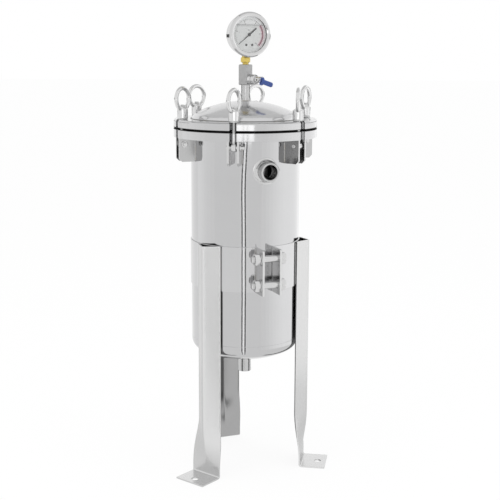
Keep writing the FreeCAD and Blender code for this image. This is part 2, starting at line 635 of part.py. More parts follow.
def make_swing_bolt(index):
    """One swing bolt with its washer and ring nut."""
    turn = facing(f"front_bolt_turn + {FULL_TURN / BOLT_COUNT * (index - 1)}")
    where = {"turn": turn, "outwards": "bolt_circle_radius"}
    bolt = new_body(f"swing_bolt_{index}", **where)
    eye = ("0", "pin_height", "eye_radius")
    pad(bolt, "eye", eye, "eye_width", "XZ_Plane", midplane=True)
    revolve(bolt, "shank", [
        ("0", "pin_height"),
        ("bolt_radius", "pin_height"),
        ("bolt_radius", "bolt_tip - bolt_tip_bevel"),
        ("bolt_radius - bolt_tip_bevel", "bolt_tip"),
        ("0", "bolt_tip"),
    ])
    hole = ("0", "pin_height", "pin_radius + running_clearance")
    pocket(bolt, "pin_hole", hole, "eye_width * 2", "XZ_Plane", midplane=True)

    washer = new_body(f"bolt_washer_{index}", **where)
    revolve(washer, "ring", box_corners("nut_bore", "washer_radius", "washer_bottom",
                                        "washer_bottom + washer_thickness"))

    ring_turn = {"turn": f"{turn} + ring_turn_{index}"}
    nut = document.addObject("PartDesign::Body", f"eye_nut_{index}")
    nut.Label = nut.Name
    bodies.append(nut)
    tie(nut, "Placement.Rotation.Angle", ring_turn["turn"])
    tie(nut, "Placement.Base.x", f"bolt_circle_radius * cos({turn})")
    tie(nut, "Placement.Base.y", f"bolt_circle_radius * sin({turn})")
    revolve(nut, "collar", [
        ("0", "nut_bottom"),
        ("nut_radius - nut_bevel", "nut_bottom"),
        ("nut_radius", "nut_bottom + nut_bevel"),
        ("nut_radius", "nut_top - nut_bevel"),
        ("nut_neck_radius", "nut_top"),
        ("nut_seat_radius", "eye_bottom"),
        ("0", "eye_bottom"),
    ])
    section = ("0", "0 - ring_middle_radius", "ring_section_radius")
    sketch = new_sketch(nut, "ring", "YZ_Plane", "0")
    tie(sketch, "AttachmentOffset.Base.y", "ring_centre")
    draw_circle(sketch, *section)
    ring = nut.newObject("PartDesign::Revolution", f"{nut.Name}_ring")
    ring.Profile = sketch
    ring.ReferenceAxis = (sketch, ["H_Axis"])
    ring.Angle = FULL_TURN
    checked(nut, ring)
    pocket(nut, "bore", ("0", "0", "nut_bore"), "nut_height * 3", offset="ring_centre")


def make_fittings():
    """Cover nipple, tee block and brass connector."""
    nipple = new_body("gauge_nipple")
    revolve(nipple, "pipe", box_corners("nipple_bore", "nipple_radius", "lid_apex - head_wall",
                                        "tee_bottom + nipple_thread_depth"))

    tee = new_body("tee_block", turn=facing("valve_turn"))
    square = [
        ("tee_half - tee_bevel", "0 - tee_half", "tee_bevel", "ccw"),
        ("tee_half", "tee_bevel - tee_half"),
        ("tee_half", "tee_half - tee_bevel", "tee_bevel", "ccw"),
        ("tee_half - tee_bevel", "tee_half"),
        ("tee_bevel - tee_half", "tee_half", "tee_bevel", "ccw"),
        ("0 - tee_half", "tee_half - tee_bevel"),
        ("0 - tee_half", "tee_bevel - tee_half", "tee_bevel", "ccw"),
        ("tee_bevel - tee_half", "0 - tee_half"),
    ]
    pad(tee, "block", square, "tee_height", offset="tee_bottom")
    pocket(tee, "passage", ("0", "0", "tee_passage"), "tee_height", offset="tee_top")
    pocket(tee, "top_thread", ("0", "0", "connector_thread_radius"), "thread_depth", offset="tee_top")
    low = ("0", "0", "nipple_radius")
    pocket(tee, "low_thread", low, "nipple_thread_depth", offset="tee_bottom + nipple_thread_depth")
    side = ("0", "valve_height", "valve_spigot_radius")
    pocket(tee, "side_thread", side, "valve_spigot_length", "YZ_Plane", offset="tee_half")
    way = ("0", "valve_height", "tee_passage")
    pocket(tee, "side_passage", way, "tee_half", "YZ_Plane", offset="tee_half")

    connector = new_body("brass_connector", turn=facing("gauge_turn"))
    pad(connector, "hexagon", hexagon("connector_across_flats"), "connector_height - connector_foot_height",
        offset="tee_top + connector_foot_height")
    thread = ("0", "0", "connector_thread_radius")
    pad(connector, "thread", thread, "thread_depth + connector_foot_height", offset="tee_top - thread_depth")
    neck = ("0", "0", "connector_neck_radius")
    pad(connector, "neck", neck, "connector_neck_length + gauge_case_wall * 2", offset="connector_top")
    way_up = "connector_height + thread_depth * 3"
    pocket(connector, "passage", ("0", "0", "connector_passage"), way_up,
           offset="gauge_centre - gauge_case_radius / 2")


def make_gauge():
    """Gauge case, bezel, window, dial, pointer, movement, Bourdon tube and plug."""
    where = {"turn": facing("gauge_turn"), "height": "gauge_centre"}
    case = new_body("gauge_case", **where)
    revolve(case, "cup", [
        ("0 - gauge_case_back", "0"),
        ("0 - gauge_case_back", "gauge_case_radius - gauge_case_corner", "gauge_case_corner", "cw"),
        ("gauge_case_corner - gauge_case_back", "gauge_case_radius"),
        ("gauge_case_front", "gauge_case_radius"),
        ("gauge_case_front", "gauge_case_radius - gauge_case_wall"),
        ("gauge_case_corner - gauge_case_back", "gauge_case_radius - gauge_case_wall",
         "gauge_case_corner - gauge_case_wall", "ccw"),
        ("gauge_case_wall - gauge_case_back", "gauge_case_radius - gauge_case_corner"),
        ("gauge_case_wall - gauge_case_back", "0"),
    ], axis="H_Axis")
    case_drop = "0 - gauge_case_radius + gauge_case_wall * 3"
    pocket(case, "neck_hole", ("0", "0", "connector_neck_radius"), "gauge_case_wall * 6", offset=case_drop)
    pocket(case, "plug_hole", ("0", "0", "plug_radius - gauge_case_wall"), "gauge_case_wall * 6",
           offset="gauge_case_radius + gauge_case_wall")

    bezel = new_body("gauge_bezel", **where)
    revolve(bezel, "ring", [
        ("bezel_back", "gauge_case_radius"),
        ("gauge_case_front", "gauge_case_radius"),
        ("gauge_case_front", "window_radius"),
        ("window_front", "window_radius"),
        ("window_front", "bezel_opening"),
        ("bezel_front - bezel_lip / 2", "bezel_opening"),
        ("bezel_front", "bezel_opening + bezel_lip"),
        ("bezel_front", "bezel_radius - bezel_lip * 1.5"),
        ("bezel_front - bezel_lip / 2", "bezel_radius - bezel_lip / 2"),
        ("bezel_front - bezel_lip * 1.5", "bezel_radius"),
        ("bezel_back", "bezel_radius"),
    ], axis="H_Axis")

    window = new_body("gauge_window", **where)
    disc = [("window_back", "0"), ("window_front", "0"), ("window_front", "window_radius"),
            ("window_back", "window_radius")]
    revolve(window, "pane", disc, axis="H_Axis")

    dial = new_body("gauge_dial", **where)
    revolve(dial, "plate", [
        ("dial_back", "pointer_shaft_radius * 2"),
        ("dial_front", "pointer_shaft_radius * 2"),
        ("dial_front", "dial_radius"),
        ("dial_back", "dial_radius"),
    ], axis="H_Axis")

    movement = new_body("gauge_movement", **where)
    half = "movement_width / 2"
    block = box_corners(f"0 - {half}", half, "connector_neck_length * 2 - gauge_case_radius", half)
    pad(movement, "block", block, "movement_thickness", "YZ_Plane", offset="0 - movement_thickness / 2")
    spacers = [("dial_back", "0"), ("0", "0"), ("0", f"{half} - 1"), ("dial_back", f"{half} - 1")]
    revolve(movement, "drum", spacers, axis="H_Axis")
    hole = ("0", "0", "pointer_shaft_radius + running_clearance")
    pocket(movement, "bearing", hole, "dial_front + movement_thickness", "YZ_Plane", offset="dial_front")

    tube = new_body("bourdon_tube", **where)
    ring = ("0 - movement_thickness / 2 - bourdon_section_radius", "bourdon_radius", "bourdon_section_radius")
    revolve(tube, "bend", ring, axis="H_Axis", sweep="bourdon_sweep")

    plug = new_body("gauge_plug", **where)
    revolve(plug, "stopper", [
        ("0", "gauge_case_radius - gauge_case_wall * 2"),
        ("plug_radius - gauge_case_wall", "gauge_case_radius - gauge_case_wall * 2"),
        ("plug_radius - gauge_case_wall", "gauge_case_radius"),
        ("plug_radius", "gauge_case_radius"),
        ("plug_radius", "gauge_case_radius + plug_rise"),
        ("0", "gauge_case_radius + plug_rise"),
    ])

    pointer = new_body("gauge_pointer", **where)
    turn = "pointer_turn"
    blade = [
        inclined("0 - pointer_tail", "0 - pointer_width / 2", turn),
        inclined("pointer_hub_radius", "0 - pointer_width / 2", turn),
        inclined("pointer_length", "0 - pointer_tip_width / 2", turn),
        inclined("pointer_length", "pointer_tip_width / 2", turn),
        inclined("pointer_hub_radius", "pointer_width / 2", turn),
        inclined("0 - pointer_tail", "pointer_width / 2", turn),
    ]
    pad(pointer, "blade", blade, "pointer_thickness", "YZ_Plane", offset="pointer_back")
    hub = ("0", "0", "pointer_hub_radius")
    pad(pointer, "hub", hub, "pointer_thickness * 2", "YZ_Plane", offset="pointer_back")
    shaft = ("0", "0", "pointer_shaft_radius")
    pad(pointer, "shaft", shaft, "pointer_back", "YZ_Plane", offset="0")


def make_valve():
    """Vent valve: body, seats, ball, stem, lever, sleeve and nut. The stem faces -Y of the valve."""
    where = {"turn": facing("valve_turn"), "height": "valve_height"}
    body = new_body("valve_body", **where)
    groove_end = "tee_half + valve_groove_place + valve_groove_width"
    revolve(body, "barrel", [
        ("valve_root", "valve_bore"),
        ("valve_end", "valve_bore"),
        ("valve_end", "valve_barrel_radius - valve_groove_width"),
        ("valve_end - valve_groove_width", "valve_barrel_radius"),
        ("valve_collar_end", "valve_barrel_radius"),
        ("valve_collar_end", "valve_collar_radius - valve_groove_width"),
        ("valve_collar_end - valve_groove_width", "valve_collar_radius"),
        (groove_end, "valve_collar_radius"),
        (groove_end, "valve_collar_radius - valve_groove_depth"),
        ("tee_half + valve_groove_place", "valve_collar_radius - valve_groove_depth"),
        ("tee_half + valve_groove_place", "valve_collar_radius"),
        ("tee_half", "valve_collar_radius"),
        ("tee_half", "valve_spigot_radius"),
        ("valve_root", "valve_spigot_radius"),
    ], axis="H_Axis")
    stem_place = "valve_stem_place"
    boss = (stem_place, "0", "valve_boss_radius")
    pad(body, "boss", boss, "valve_boss_reach - valve_bore * 1.5", "XZ_Plane", offset="valve_bore * 1.5")
    chamber = (stem_place, "0", "ball_room")
    pocket(body, "chamber", chamber, "ball_room * 2", "XZ_Plane", midplane=True)
    shaft_way = (stem_place, "0", "valve_stem_radius + running_clearance")
    pocket(body, "stem_hole", shaft_way, "valve_boss_reach", "XZ_Plane", offset="valve_boss_reach")

    at_stem = {"turn": where["turn"], "outwards": stem_place, "height": "valve_height"}
    ball = document.addObject("Part::Sphere", "ball_round")
    tie(ball, "Radius", "valve_ball_radius")
    way = document.addObject("Part::Cylinder", "ball_passage")
    tie(way, "Radius", "valve_bore")
    tie(way, "Height", "valve_ball_radius * 4")
    for round_piece in (ball, way):
        round_piece.Placement.Rotation = FreeCAD.Rotation(FreeCAD.Vector(0, 1, 0), 90)
        tie(round_piece, "Placement.Rotation.Angle", "90 + lever_droop")
    tie(way, "Placement.Base.x", "0 - valve_ball_radius * 2 * cos(lever_droop)")
    tie(way, "Placement.Base.z", "valve_ball_radius * 2 * sin(lever_droop)")
    bored = document.addObject("Part::Cut", "valve_ball")
    bored.Base = ball
    bored.Tool = way
    bored.Label = "valve_ball"
    place(bored, **at_stem)
    bodies.append(bored)

    seats = new_body("valve_seats", **at_stem)
    inner_edge = "sqrt(ball_room^2 - (valve_bore - seat_height / 2)^2)"
    for name, side in (("inner_seat", "0 - "), ("outer_seat", "")):
        revolve(seats, name, [
            (f"{side}({inner_edge} + running_clearance)", "valve_bore - seat_height / 2"),
            (f"{side}({inner_edge} + seat_width)", "valve_bore - seat_height / 2"),
            (f"{side}({inner_edge} + seat_width)", "valve_bore - running_clearance / 2"),
            (f"{side}({inner_edge} + running_clearance)", "valve_bore - running_clearance / 2"),
        ], axis="H_Axis")

    stem = new_body("valve_stem", **at_stem)
    rod = ("0", "0", "valve_stem_radius")
    pad(stem, "rod", rod, "lever_front + stem_nut_height - valve_ball_radius", "XZ_Plane",
        offset="valve_ball_radius")

    droop = "(0 - lever_droop)"
    lever = new_body("valve_lever", **at_stem)
    half = "lever_width / 2"
    plate = [
        inclined(f"0 - {half}", "1 - lever_width / 2", droop),
        inclined("sleeve_start", f"0 - {half}", droop),
        inclined("lever_length - sleeve_wall * 2", f"0 - {half}", droop),
        inclined("lever_length - sleeve_wall * 2", half, droop),
        inclined("sleeve_start", half, droop),
        inclined(f"0 - {half}", f"{half} - 1", droop),
    ]
    pad(lever, "plate", plate, "lever_thickness", "XZ_Plane", offset="lever_back")
    pocket_shape = ("0", "0", "valve_stem_radius")
    pocket(lever, "stem_hole", pocket_shape, "lever_front * 3", "XZ_Plane", offset="0", midplane=True)

    sleeve = new_body("lever_sleeve", **at_stem)
    wide = "sleeve_shoulder_width / 2"
    slim = "sleeve_width / 2"
    shoulder_end = "sleeve_start + sleeve_shoulder_length"
    grip = [
        inclined("sleeve_start", f"sleeve_corner - {wide}", droop),
        inclined("sleeve_start + sleeve_corner", f"0 - {wide}", droop),
        inclined(shoulder_end, f"0 - {wide}", droop),
        inclined(f"{shoulder_end} + sleeve_corner", f"0 - {slim}", droop),
        inclined("lever_length - sleeve_corner * 1.5", f"0 - {slim}", droop),
        inclined("lever_length", f"sleeve_corner * 1.5 - {slim}", droop),
        inclined("lever_length", f"{slim} - sleeve_corner * 1.5", droop),
        inclined("lever_length - sleeve_corner * 1.5", slim, droop),
        inclined(f"{shoulder_end} + sleeve_corner", slim, droop),
        inclined(shoulder_end, wide, droop),
        inclined("sleeve_start + sleeve_corner", wide, droop),
        inclined("sleeve_start", f"{wide} - sleeve_corner", droop),
    ]
    deep = "lever_thickness + sleeve_wall * 2"
    pad(sleeve, "grip", grip, deep, "XZ_Plane", offset="lever_back - sleeve_wall")
    room = [
        inclined("0", f"0 - {half}", droop),
        inclined("lever_length - sleeve_wall * 2", f"0 - {half}", droop),
        inclined("lever_length - sleeve_wall * 2", half, droop),
        inclined("0", half, droop),
    ]
    pocket(sleeve, "lever_room", room, "lever_thickness", "XZ_Plane", offset="lever_front")

    nut = new_body("stem_nut", **at_stem)
    pad(nut, "hexagon", hexagon("stem_nut_across_flats"), "stem_nut_height", "XZ_Plane", offset="lever_front")
    pocket(nut, "bore", ("0", "0", "valve_stem_radius"), "stem_nut_height * 8", "XZ_Plane", midplane=True)


def make_clamp():
    """Split leg band with its ears, bolts, washers and nuts."""
    turn = facing("clamp_turn")
    band = new_body("leg_band", turn=turn)
    revolve(band, "strap", box_corners("shell_radius", "band_radius", "band_bottom", "band_top"))
    gap = box_corners("0 - clamp_gap / 2", "clamp_gap / 2", "band_bottom - 1", "band_top + 1")
    pocket(band, "split", gap, "band_radius", "YZ_Plane", offset="band_radius + band_thickness")

    ears = new_body("clamp_ears", turn=turn)
    plate = [
        ("ear_root", "band_bottom"),
        ("ear_reach", "band_bottom"),
        ("ear_reach", "band_top - ear_corner", "ear_corner", "ccw"),
        ("ear_reach - ear_corner", "band_top"),
        ("ear_root", "band_top"),
    ]
    pad(ears, "left_ear", plate, "ear_thickness", "XZ_Plane", offset="clamp_gap / 2")
    pad(ears, "right_ear", plate, "ear_thickness", "XZ_Plane", offset="0 - ear_outside")
    low_bolt = "clamp_middle - clamp_bolt_pitch / 2"
    hole = ("clamp_bolt_reach", low_bolt, "clamp_bolt_radius + clamp_hole_clearance")
    low_hole = pocket(ears, "low_hole", hole, "ear_outside * 3", "XZ_Plane", midplane=True)
    repeat_up(ears, [low_hole], 2, "clamp_bolt_pitch")

    bolts = new_body("clamp_bolts", turn=turn)
    shank = ("clamp_bolt_reach", low_bolt, "clamp_bolt_radius")
    shank_length = "washer_outside * 2 + clamp_nut_height + clamp_bolt_spare"
    rod = pad(bolts, "shank", shank, shank_length, "XZ_Plane", offset="0 - washer_outside")
    head_shape = hexagon("clamp_across_flats", "clamp_bolt_reach", low_bolt)
    head = pad(bolts, "head", head_shape, "clamp_head_height", "XZ_Plane",
               offset="0 - washer_outside - clamp_head_height")
    repeat_up(bolts, [rod, head], 2, "clamp_bolt_pitch")

    washers = new_body("clamp_washers", turn=turn)
    disc = ("clamp_bolt_reach", low_bolt, "clamp_washer_radius")
    pair = [
        pad(washers, "nut_side", disc, "clamp_washer_thickness", "XZ_Plane", offset="ear_outside"),
        pad(washers, "head_side", disc, "clamp_washer_thickness", "XZ_Plane", offset="0 - washer_outside"),
    ]
    pair.append(pocket(washers, "hole", shank, "washer_outside * 3", "XZ_Plane", midplane=True))
    repeat_up(washers, pair, 2, "clamp_bolt_pitch")

    nuts = new_body("clamp_nuts", turn=turn)
    block = pad(nuts, "hexagon", head_shape, "clamp_nut_height", "XZ_Plane", offset="washer_outside")
    bore = pocket(nuts, "bore", shank, "washer_outside * 4", "XZ_Plane", midplane=True)
    repeat_up(nuts, [block, bore], 2, "clamp_bolt_pitch")


def folded_section(edge, apex, outside):
    """The section of the leg strip, folded to a ridge that points outwards."""
    half = "leg_fold_half_width" if edge != apex else "leg_strip_width / 2"
    return [
        (edge, f"0 - {half}"),
        (apex, "0") if edge != apex else (edge, "0"),
        (edge, half),
        (f"{edge} + {outside}", half),
        (f"{apex} + {outside}", "0"),
        (f"{edge} + {outside}", f"0 - {half}"),
    ]


def make_leg(index):
    """One leg: a folded strip that flattens towards the floor and turns outwards as a foot."""
    leg = new_body(f"leg_{index}", turn=facing(f"leg_turn + {FULL_TURN / LEG_COUNT * (index - 1)}"))
    folded = folded_section("leg_edge", "leg_edge + leg_fold_depth", "leg_fold_outside")
    flat = folded_section("foot_place", "foot_place", "leg_thickness")
    pad(leg, "post", folded, "band_top - leg_flattening_height", offset="leg_flattening_height")
    start = sketched(leg, "fold", "XY_Plane", folded, offset="leg_flattening_height")
    end = sketched(leg, "flat", "XY_Plane", flat, offset="foot_bend_outside")
    loft = leg.newObject("PartDesign::AdditiveLoft", f"{leg.Name}_flattening")
    loft.Profile = start
    loft.Sections = [end]
    loft.Ruled = True
    checked(leg, loft)
    bend_centre = "foot_place + foot_bend_outside"
    foot = [
        ("foot_place", "foot_bend_outside", "foot_bend_outside", "ccw"),
        (bend_centre, "0"),
        ("foot_reach", "0"),
        ("foot_reach", "leg_thickness"),
        (bend_centre, "leg_thickness", "foot_bend_radius", "cw"),
        ("foot_place + leg_thickness", "foot_bend_outside"),
    ]
    pad(leg, "foot", foot, "leg_strip_width", "XZ_Plane", midplane=True)
    hole = ("foot_hole_circle", "0", "foot_hole_radius")
    pocket(leg, "foot_hole", hole, "leg_thickness * 4", midplane=True)


def make_insides():
    """Restrainer basket, its seal ring, the filter bag and the bag's snap ring."""
    seal = new_body("basket_seal")
    revolve(seal, "ring", box_corners("shell_inside", "rim_radius", "shell_top", "basket_rim_bottom"))

    basket = new_body("filter_basket")
    revolve(basket, "can", [
        ("0", "basket_bottom"),
        ("basket_radius", "basket_bottom"),
        ("basket_radius", "basket_rim_bottom"),
        ("rim_radius", "basket_rim_bottom"),
        ("rim_radius", "basket_rim_top"),
        ("basket_radius - basket_wall", "basket_rim_top"),
        ("basket_radius - basket_wall", "basket_bottom + basket_wall"),
        ("0", "basket_bottom + basket_wall"),
    ])
    hole = ("0", "basket_bottom + basket_hole_start", "basket_hole_radius")
    first = pocket(basket, "hole", hole, "basket_wall * 6", "YZ_Plane", offset="basket_radius + basket_wall")
    rows = basket.newObject("PartDesign::MultiTransform", "filter_basket_perforation")
    rows.Originals = [first]
    upwards = basket.newObject("PartDesign::LinearPattern", "filter_basket_rows")
    upwards.Direction = (origin_of(basket, "Z_Axis"), [""])
    tie(upwards, "Length", f"basket_hole_pitch * {BASKET_HOLE_ROWS - 1}")
    upwards.Occurrences = BASKET_HOLE_ROWS
    round_about = basket.newObject("PartDesign::PolarPattern", "filter_basket_columns")
    round_about.Axis = (origin_of(basket, "Z_Axis"), [""])
    round_about.Angle = FULL_TURN
    round_about.Occurrences = BASKET_HOLES_ROUND
    rows.Transformations = [upwards, round_about]
    checked(basket, rows)

    bag = new_body("filter_bag")
    revolve(bag, "felt", [
        ("0", "bag_bottom"),
        ("bag_radius", "bag_bottom"),
        ("bag_radius", "basket_rim_top"),
        ("bag_radius - bag_wall", "basket_rim_top"),
        ("bag_radius - bag_wall", "bag_bottom + bag_wall"),
        ("0", "bag_bottom + bag_wall"),
    ])

    ring = new_body("bag_ring")
    revolve(ring, "snap_ring", box_corners("bag_radius - bag_wall", "bag_radius + bag_ring_width",
                                           "basket_rim_top", "basket_rim_top + bag_ring_height"))


def write_parts():
    """Check every object of the document and every piece, and write one file for each piece."""
    document.recompute()
    for item in document.Objects:
        if {"Invalid", "Error"} & set(item.State):
            raise ValueError(f"{item.Name} failed: {item.State}")
    os.makedirs("parts", exist_ok=True)
    for body in bodies:
        shape = body.Shape
        if shape.isNull() or not shape.isValid() or not shape.Solids:
            raise ValueError(f"{body.Label} has no valid solid")
        shape.exportStep(f"parts/{body.Label}.step")
    print(f"{len(bodies)} pieces written")


fill_sheet()
make_vessel()
make_closure()
make_hinges()
for bolt_index in range(1, BOLT_COUNT + 1):
    make_swing_bolt(bolt_index)
make_fittings()
make_gauge()
make_valve()
make_clamp()
for leg_index in range(1, LEG_COUNT + 1):
    make_leg(leg_index)
make_insides()
write_parts()
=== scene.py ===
"""The looks of a bag filter housing in stainless steel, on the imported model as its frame.

Sizes are in millimetres until a piece is placed, and turns in degrees from the front (-Y) towards the
right (+X), as in the part's source. Local points are (outwards, sideways, up) from a piece's seat.
"""

import json
import logging
import math
from dataclasses import dataclass, field
from enum import Enum
from typing import Optional, Sequence, Union

import bpy
import numpy as np
from mathutils import Matrix

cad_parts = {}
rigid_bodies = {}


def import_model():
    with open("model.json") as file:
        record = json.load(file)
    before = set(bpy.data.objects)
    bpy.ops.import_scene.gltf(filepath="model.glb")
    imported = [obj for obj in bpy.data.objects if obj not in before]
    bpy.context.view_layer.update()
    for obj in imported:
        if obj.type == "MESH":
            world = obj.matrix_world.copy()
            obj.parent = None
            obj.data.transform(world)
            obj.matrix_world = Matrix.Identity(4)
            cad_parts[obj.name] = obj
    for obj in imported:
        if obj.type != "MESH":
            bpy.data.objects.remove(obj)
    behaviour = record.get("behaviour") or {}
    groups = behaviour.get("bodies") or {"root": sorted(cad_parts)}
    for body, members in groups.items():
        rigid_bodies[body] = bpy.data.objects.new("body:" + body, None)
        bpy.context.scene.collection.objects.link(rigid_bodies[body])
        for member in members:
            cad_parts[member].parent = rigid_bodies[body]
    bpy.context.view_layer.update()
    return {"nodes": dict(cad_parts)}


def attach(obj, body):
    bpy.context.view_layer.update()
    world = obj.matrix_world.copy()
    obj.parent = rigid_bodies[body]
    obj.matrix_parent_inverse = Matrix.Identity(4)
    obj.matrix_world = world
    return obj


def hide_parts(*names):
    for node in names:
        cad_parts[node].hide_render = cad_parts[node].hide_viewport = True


LOG = logging.getLogger("bag_filter_housing")
MM = 0.001
HOLD = 0.4
HOLD_SHARE = 0.49
ARC_SHARE = 0.42
# The colour of painted shade, mixed over steel in place of dark reflections and shadow.
PAINTED_SHADE_BLACK = (0.02, 0.02, 0.02)
# Heights in metres of the band of painted shadow across the flanges' edges at the gap between them.
PAINTED_GAP_SHADOW = (0.7009, 0.7061)
WHITE = (1.0, 1.0, 1.0)
Array = np.ndarray
Corner = tuple[float, float, float]
Number = Union[float, "Value"]


class Toward(Enum):
    """The way a piece's own axis points from its seat."""

    UP = 0
    OUT = 1
    SIDE = 2


class Grain(Enum):
    """The way the fine lines of a finish run, as stretches of its noise along X, Y and Z."""

    ROUND = (2.0, 2.0, 900.0)
    UPRIGHT = (700.0, 700.0, 4.0)
    NONE = (260.0, 260.0, 260.0)


class Value:
    """An output socket of a material that takes part in Python's arithmetic."""

    def __init__(self, maker: "Maker", socket: bpy.types.NodeSocket) -> None:
        """Keep the socket and the material it belongs to."""
        self.maker = maker
        self.socket = socket

    def _sum(self, operation: str, *terms: Number) -> "Value":
        """Add one Math node with these terms."""
        inputs = {index: term for index, term in enumerate(terms)}
        return self.maker.node("ShaderNodeMath", {"operation": operation}, inputs)

    def __add__(self, other: Number) -> "Value":
        """This value plus another."""
        return self._sum("ADD", self, other)

    def __radd__(self, other: Number) -> "Value":
        """A number plus this value."""
        return self._sum("ADD", other, self)

    def __sub__(self, other: Number) -> "Value":
        """This value less another."""
        return self._sum("SUBTRACT", self, other)

    def __rsub__(self, other: Number) -> "Value":
        """A number less this value."""
        return self._sum("SUBTRACT", other, self)

    def __mul__(self, other: Number) -> "Value":
        """This value times another."""
        return self._sum("MULTIPLY", self, other)

    def __rmul__(self, other: Number) -> "Value":
        """A number times this value."""
        return self._sum("MULTIPLY", other, self)

    def __pow__(self, other: Number) -> "Value":
        """This value to a power."""
        return self._sum("POWER", self, other)

    def above(self, edge: Number) -> "Value":
        """1 where this value is over an edge, and 0 elsewhere."""
        return self._sum("GREATER_THAN", self, edge)

    def below(self, edge: Number) -> "Value":
        """1 where this value is under an edge, and 0 elsewhere."""
        return self._sum("LESS_THAN", self, edge)

    def between(self, low: float, high: float) -> "Value":
        """1 from low to high, and 0 elsewhere."""
        return self.above(low) * self.below(high)

    def absolute(self) -> "Value":
        """This value without its sign."""
        return self._sum("ABSOLUTE", self)

    def wave(self, pitch: float) -> "Value":
        """A value that folds up and down between 0 and the pitch."""
        return self._sum("PINGPONG", self, pitch)

    def rise(self, low: float, high: float) -> "Value":
        """0 under low, 1 over high, and smooth between them."""
        settings = {"interpolation_type": "SMOOTHSTEP"}
        inputs = {"Value": self, "From Min": low, "From Max": high}
        return self.maker.node("ShaderNodeMapRange", settings, inputs)


class Maker:
    """Builds the nodes of one material."""

    def __init__(self, name: str) -> None:
        """Start an empty material with its output."""
        self.material = bpy.data.materials.new(name)
        self.material.use_nodes = True
        self.tree = self.material.node_tree
        self.tree.nodes.clear()
        self.output = self.tree.nodes.new("ShaderNodeOutputMaterial")

    def node(self, kind: str, settings: dict, inputs: dict, output: Union[int, str] = 0) -> Value:
        """Add a node.

        Args:
            kind: the node's type.
            settings: its properties, set first; "stops" gives a ramp's places and colours.
            inputs: numbers, colours or Values for its sockets.
            output: which of its outputs to return.

        Returns:
            The chosen output.
        """
        node = self.tree.nodes.new(kind)
        for key, setting in settings.items():
            if key == "stops":
                ramp = node.color_ramp
                while len(ramp.elements) < len(setting):
                    ramp.elements.new(0.5)
                for element, (place, colour) in zip(ramp.elements, setting):
                    element.position = place
                    element.color = (*colour, 1.0)
            else:
                setattr(node, key, setting)
        for key, term in inputs.items():
            if isinstance(term, Value):
                self.tree.links.new(term.socket, node.inputs[key])
            elif isinstance(term, tuple) and node.inputs[key].type == "RGBA":
                node.inputs[key].default_value = (*term, 1.0)
            else:
                node.inputs[key].default_value = term
        return Value(self, node.outputs[output])

    def place(self, turn: float = 0.0, height: float = 0.0,
              stretch: Sequence[float] = (1.0, 1.0, 1.0)) -> Value:
        """Object coordinates, lowered by a height in metres, turned back about Z, and stretched."""
        where = self.node("ShaderNodeTexCoord", {}, {}, "Object")
        lowered = self.node("ShaderNodeMapping", {}, {"Vector": where, "Location": (0.0, 0.0, -height)})
        angle = (0.0, 0.0, -math.radians(turn))
        sockets = {"Vector": lowered, "Rotation": angle, "Scale": tuple(stretch)}
        return self.node("ShaderNodeMapping", {}, sockets)

    def noise(self, vector: Value, scale: float, detail: float = 3.0, roughness: float = 0.55) -> Value:
        """A noise between 0 and 1 at a scale per metre."""
        inputs = {"Vector": vector, "Scale": scale, "Detail": detail, "Roughness": roughness}
        return self.node("ShaderNodeTexNoise", {}, inputs, 0)

    def blend(self, amount: Number, first: object, second: object) -> Value:
        """A colour between two, by an amount from 0 to 1."""
        node = self.tree.nodes.new("ShaderNodeMix")
        node.data_type = "RGBA"
        for socket, term in ((node.inputs[0], amount), (node.inputs[6], first), (node.inputs[7], second)):
            if isinstance(term, Value):
                self.tree.links.new(term.socket, socket)
            else:
                socket.default_value = (*term, 1.0) if isinstance(term, tuple) else term
        return Value(self, node.outputs[2])

    def bump(self, height: Value, depth: float, strength: float = 1.0) -> Value:
        """A normal from a height between 0 and 1, over a depth in metres."""
        return self.node("ShaderNodeBump", {}, {"Height": height, "Distance": depth, "Strength": strength})

    def finish(self, painted_shade: Optional[Value] = None, **inputs: object) -> bpy.types.Material:
        """Close the material with a Principled shader.

        Args:
            painted_shade: where a painted shade, a matt near-black, takes over from 0 to 1, in place of the
                dark things mirrored.
            inputs: its sockets, named with underscores.

        Returns:
            The material.
        """
        sockets = {key.replace("_", " "): term for key, term in inputs.items()}
        shader = self.node("ShaderNodeBsdfPrincipled", {}, sockets)
        if painted_shade is not None:
            # Painted shade: a matt near-black diffuse mixed over the shader where the mask asks, in place of
            # dark reflections.
            dark = self.node("ShaderNodeBsdfDiffuse", {}, {"Color": PAINTED_SHADE_BLACK})
            shader = self.node("ShaderNodeMixShader", {}, {0: painted_shade, 1: shader, 2: dark})
        self.tree.links.new(shader.socket, self.output.inputs["Surface"])
        return self.material


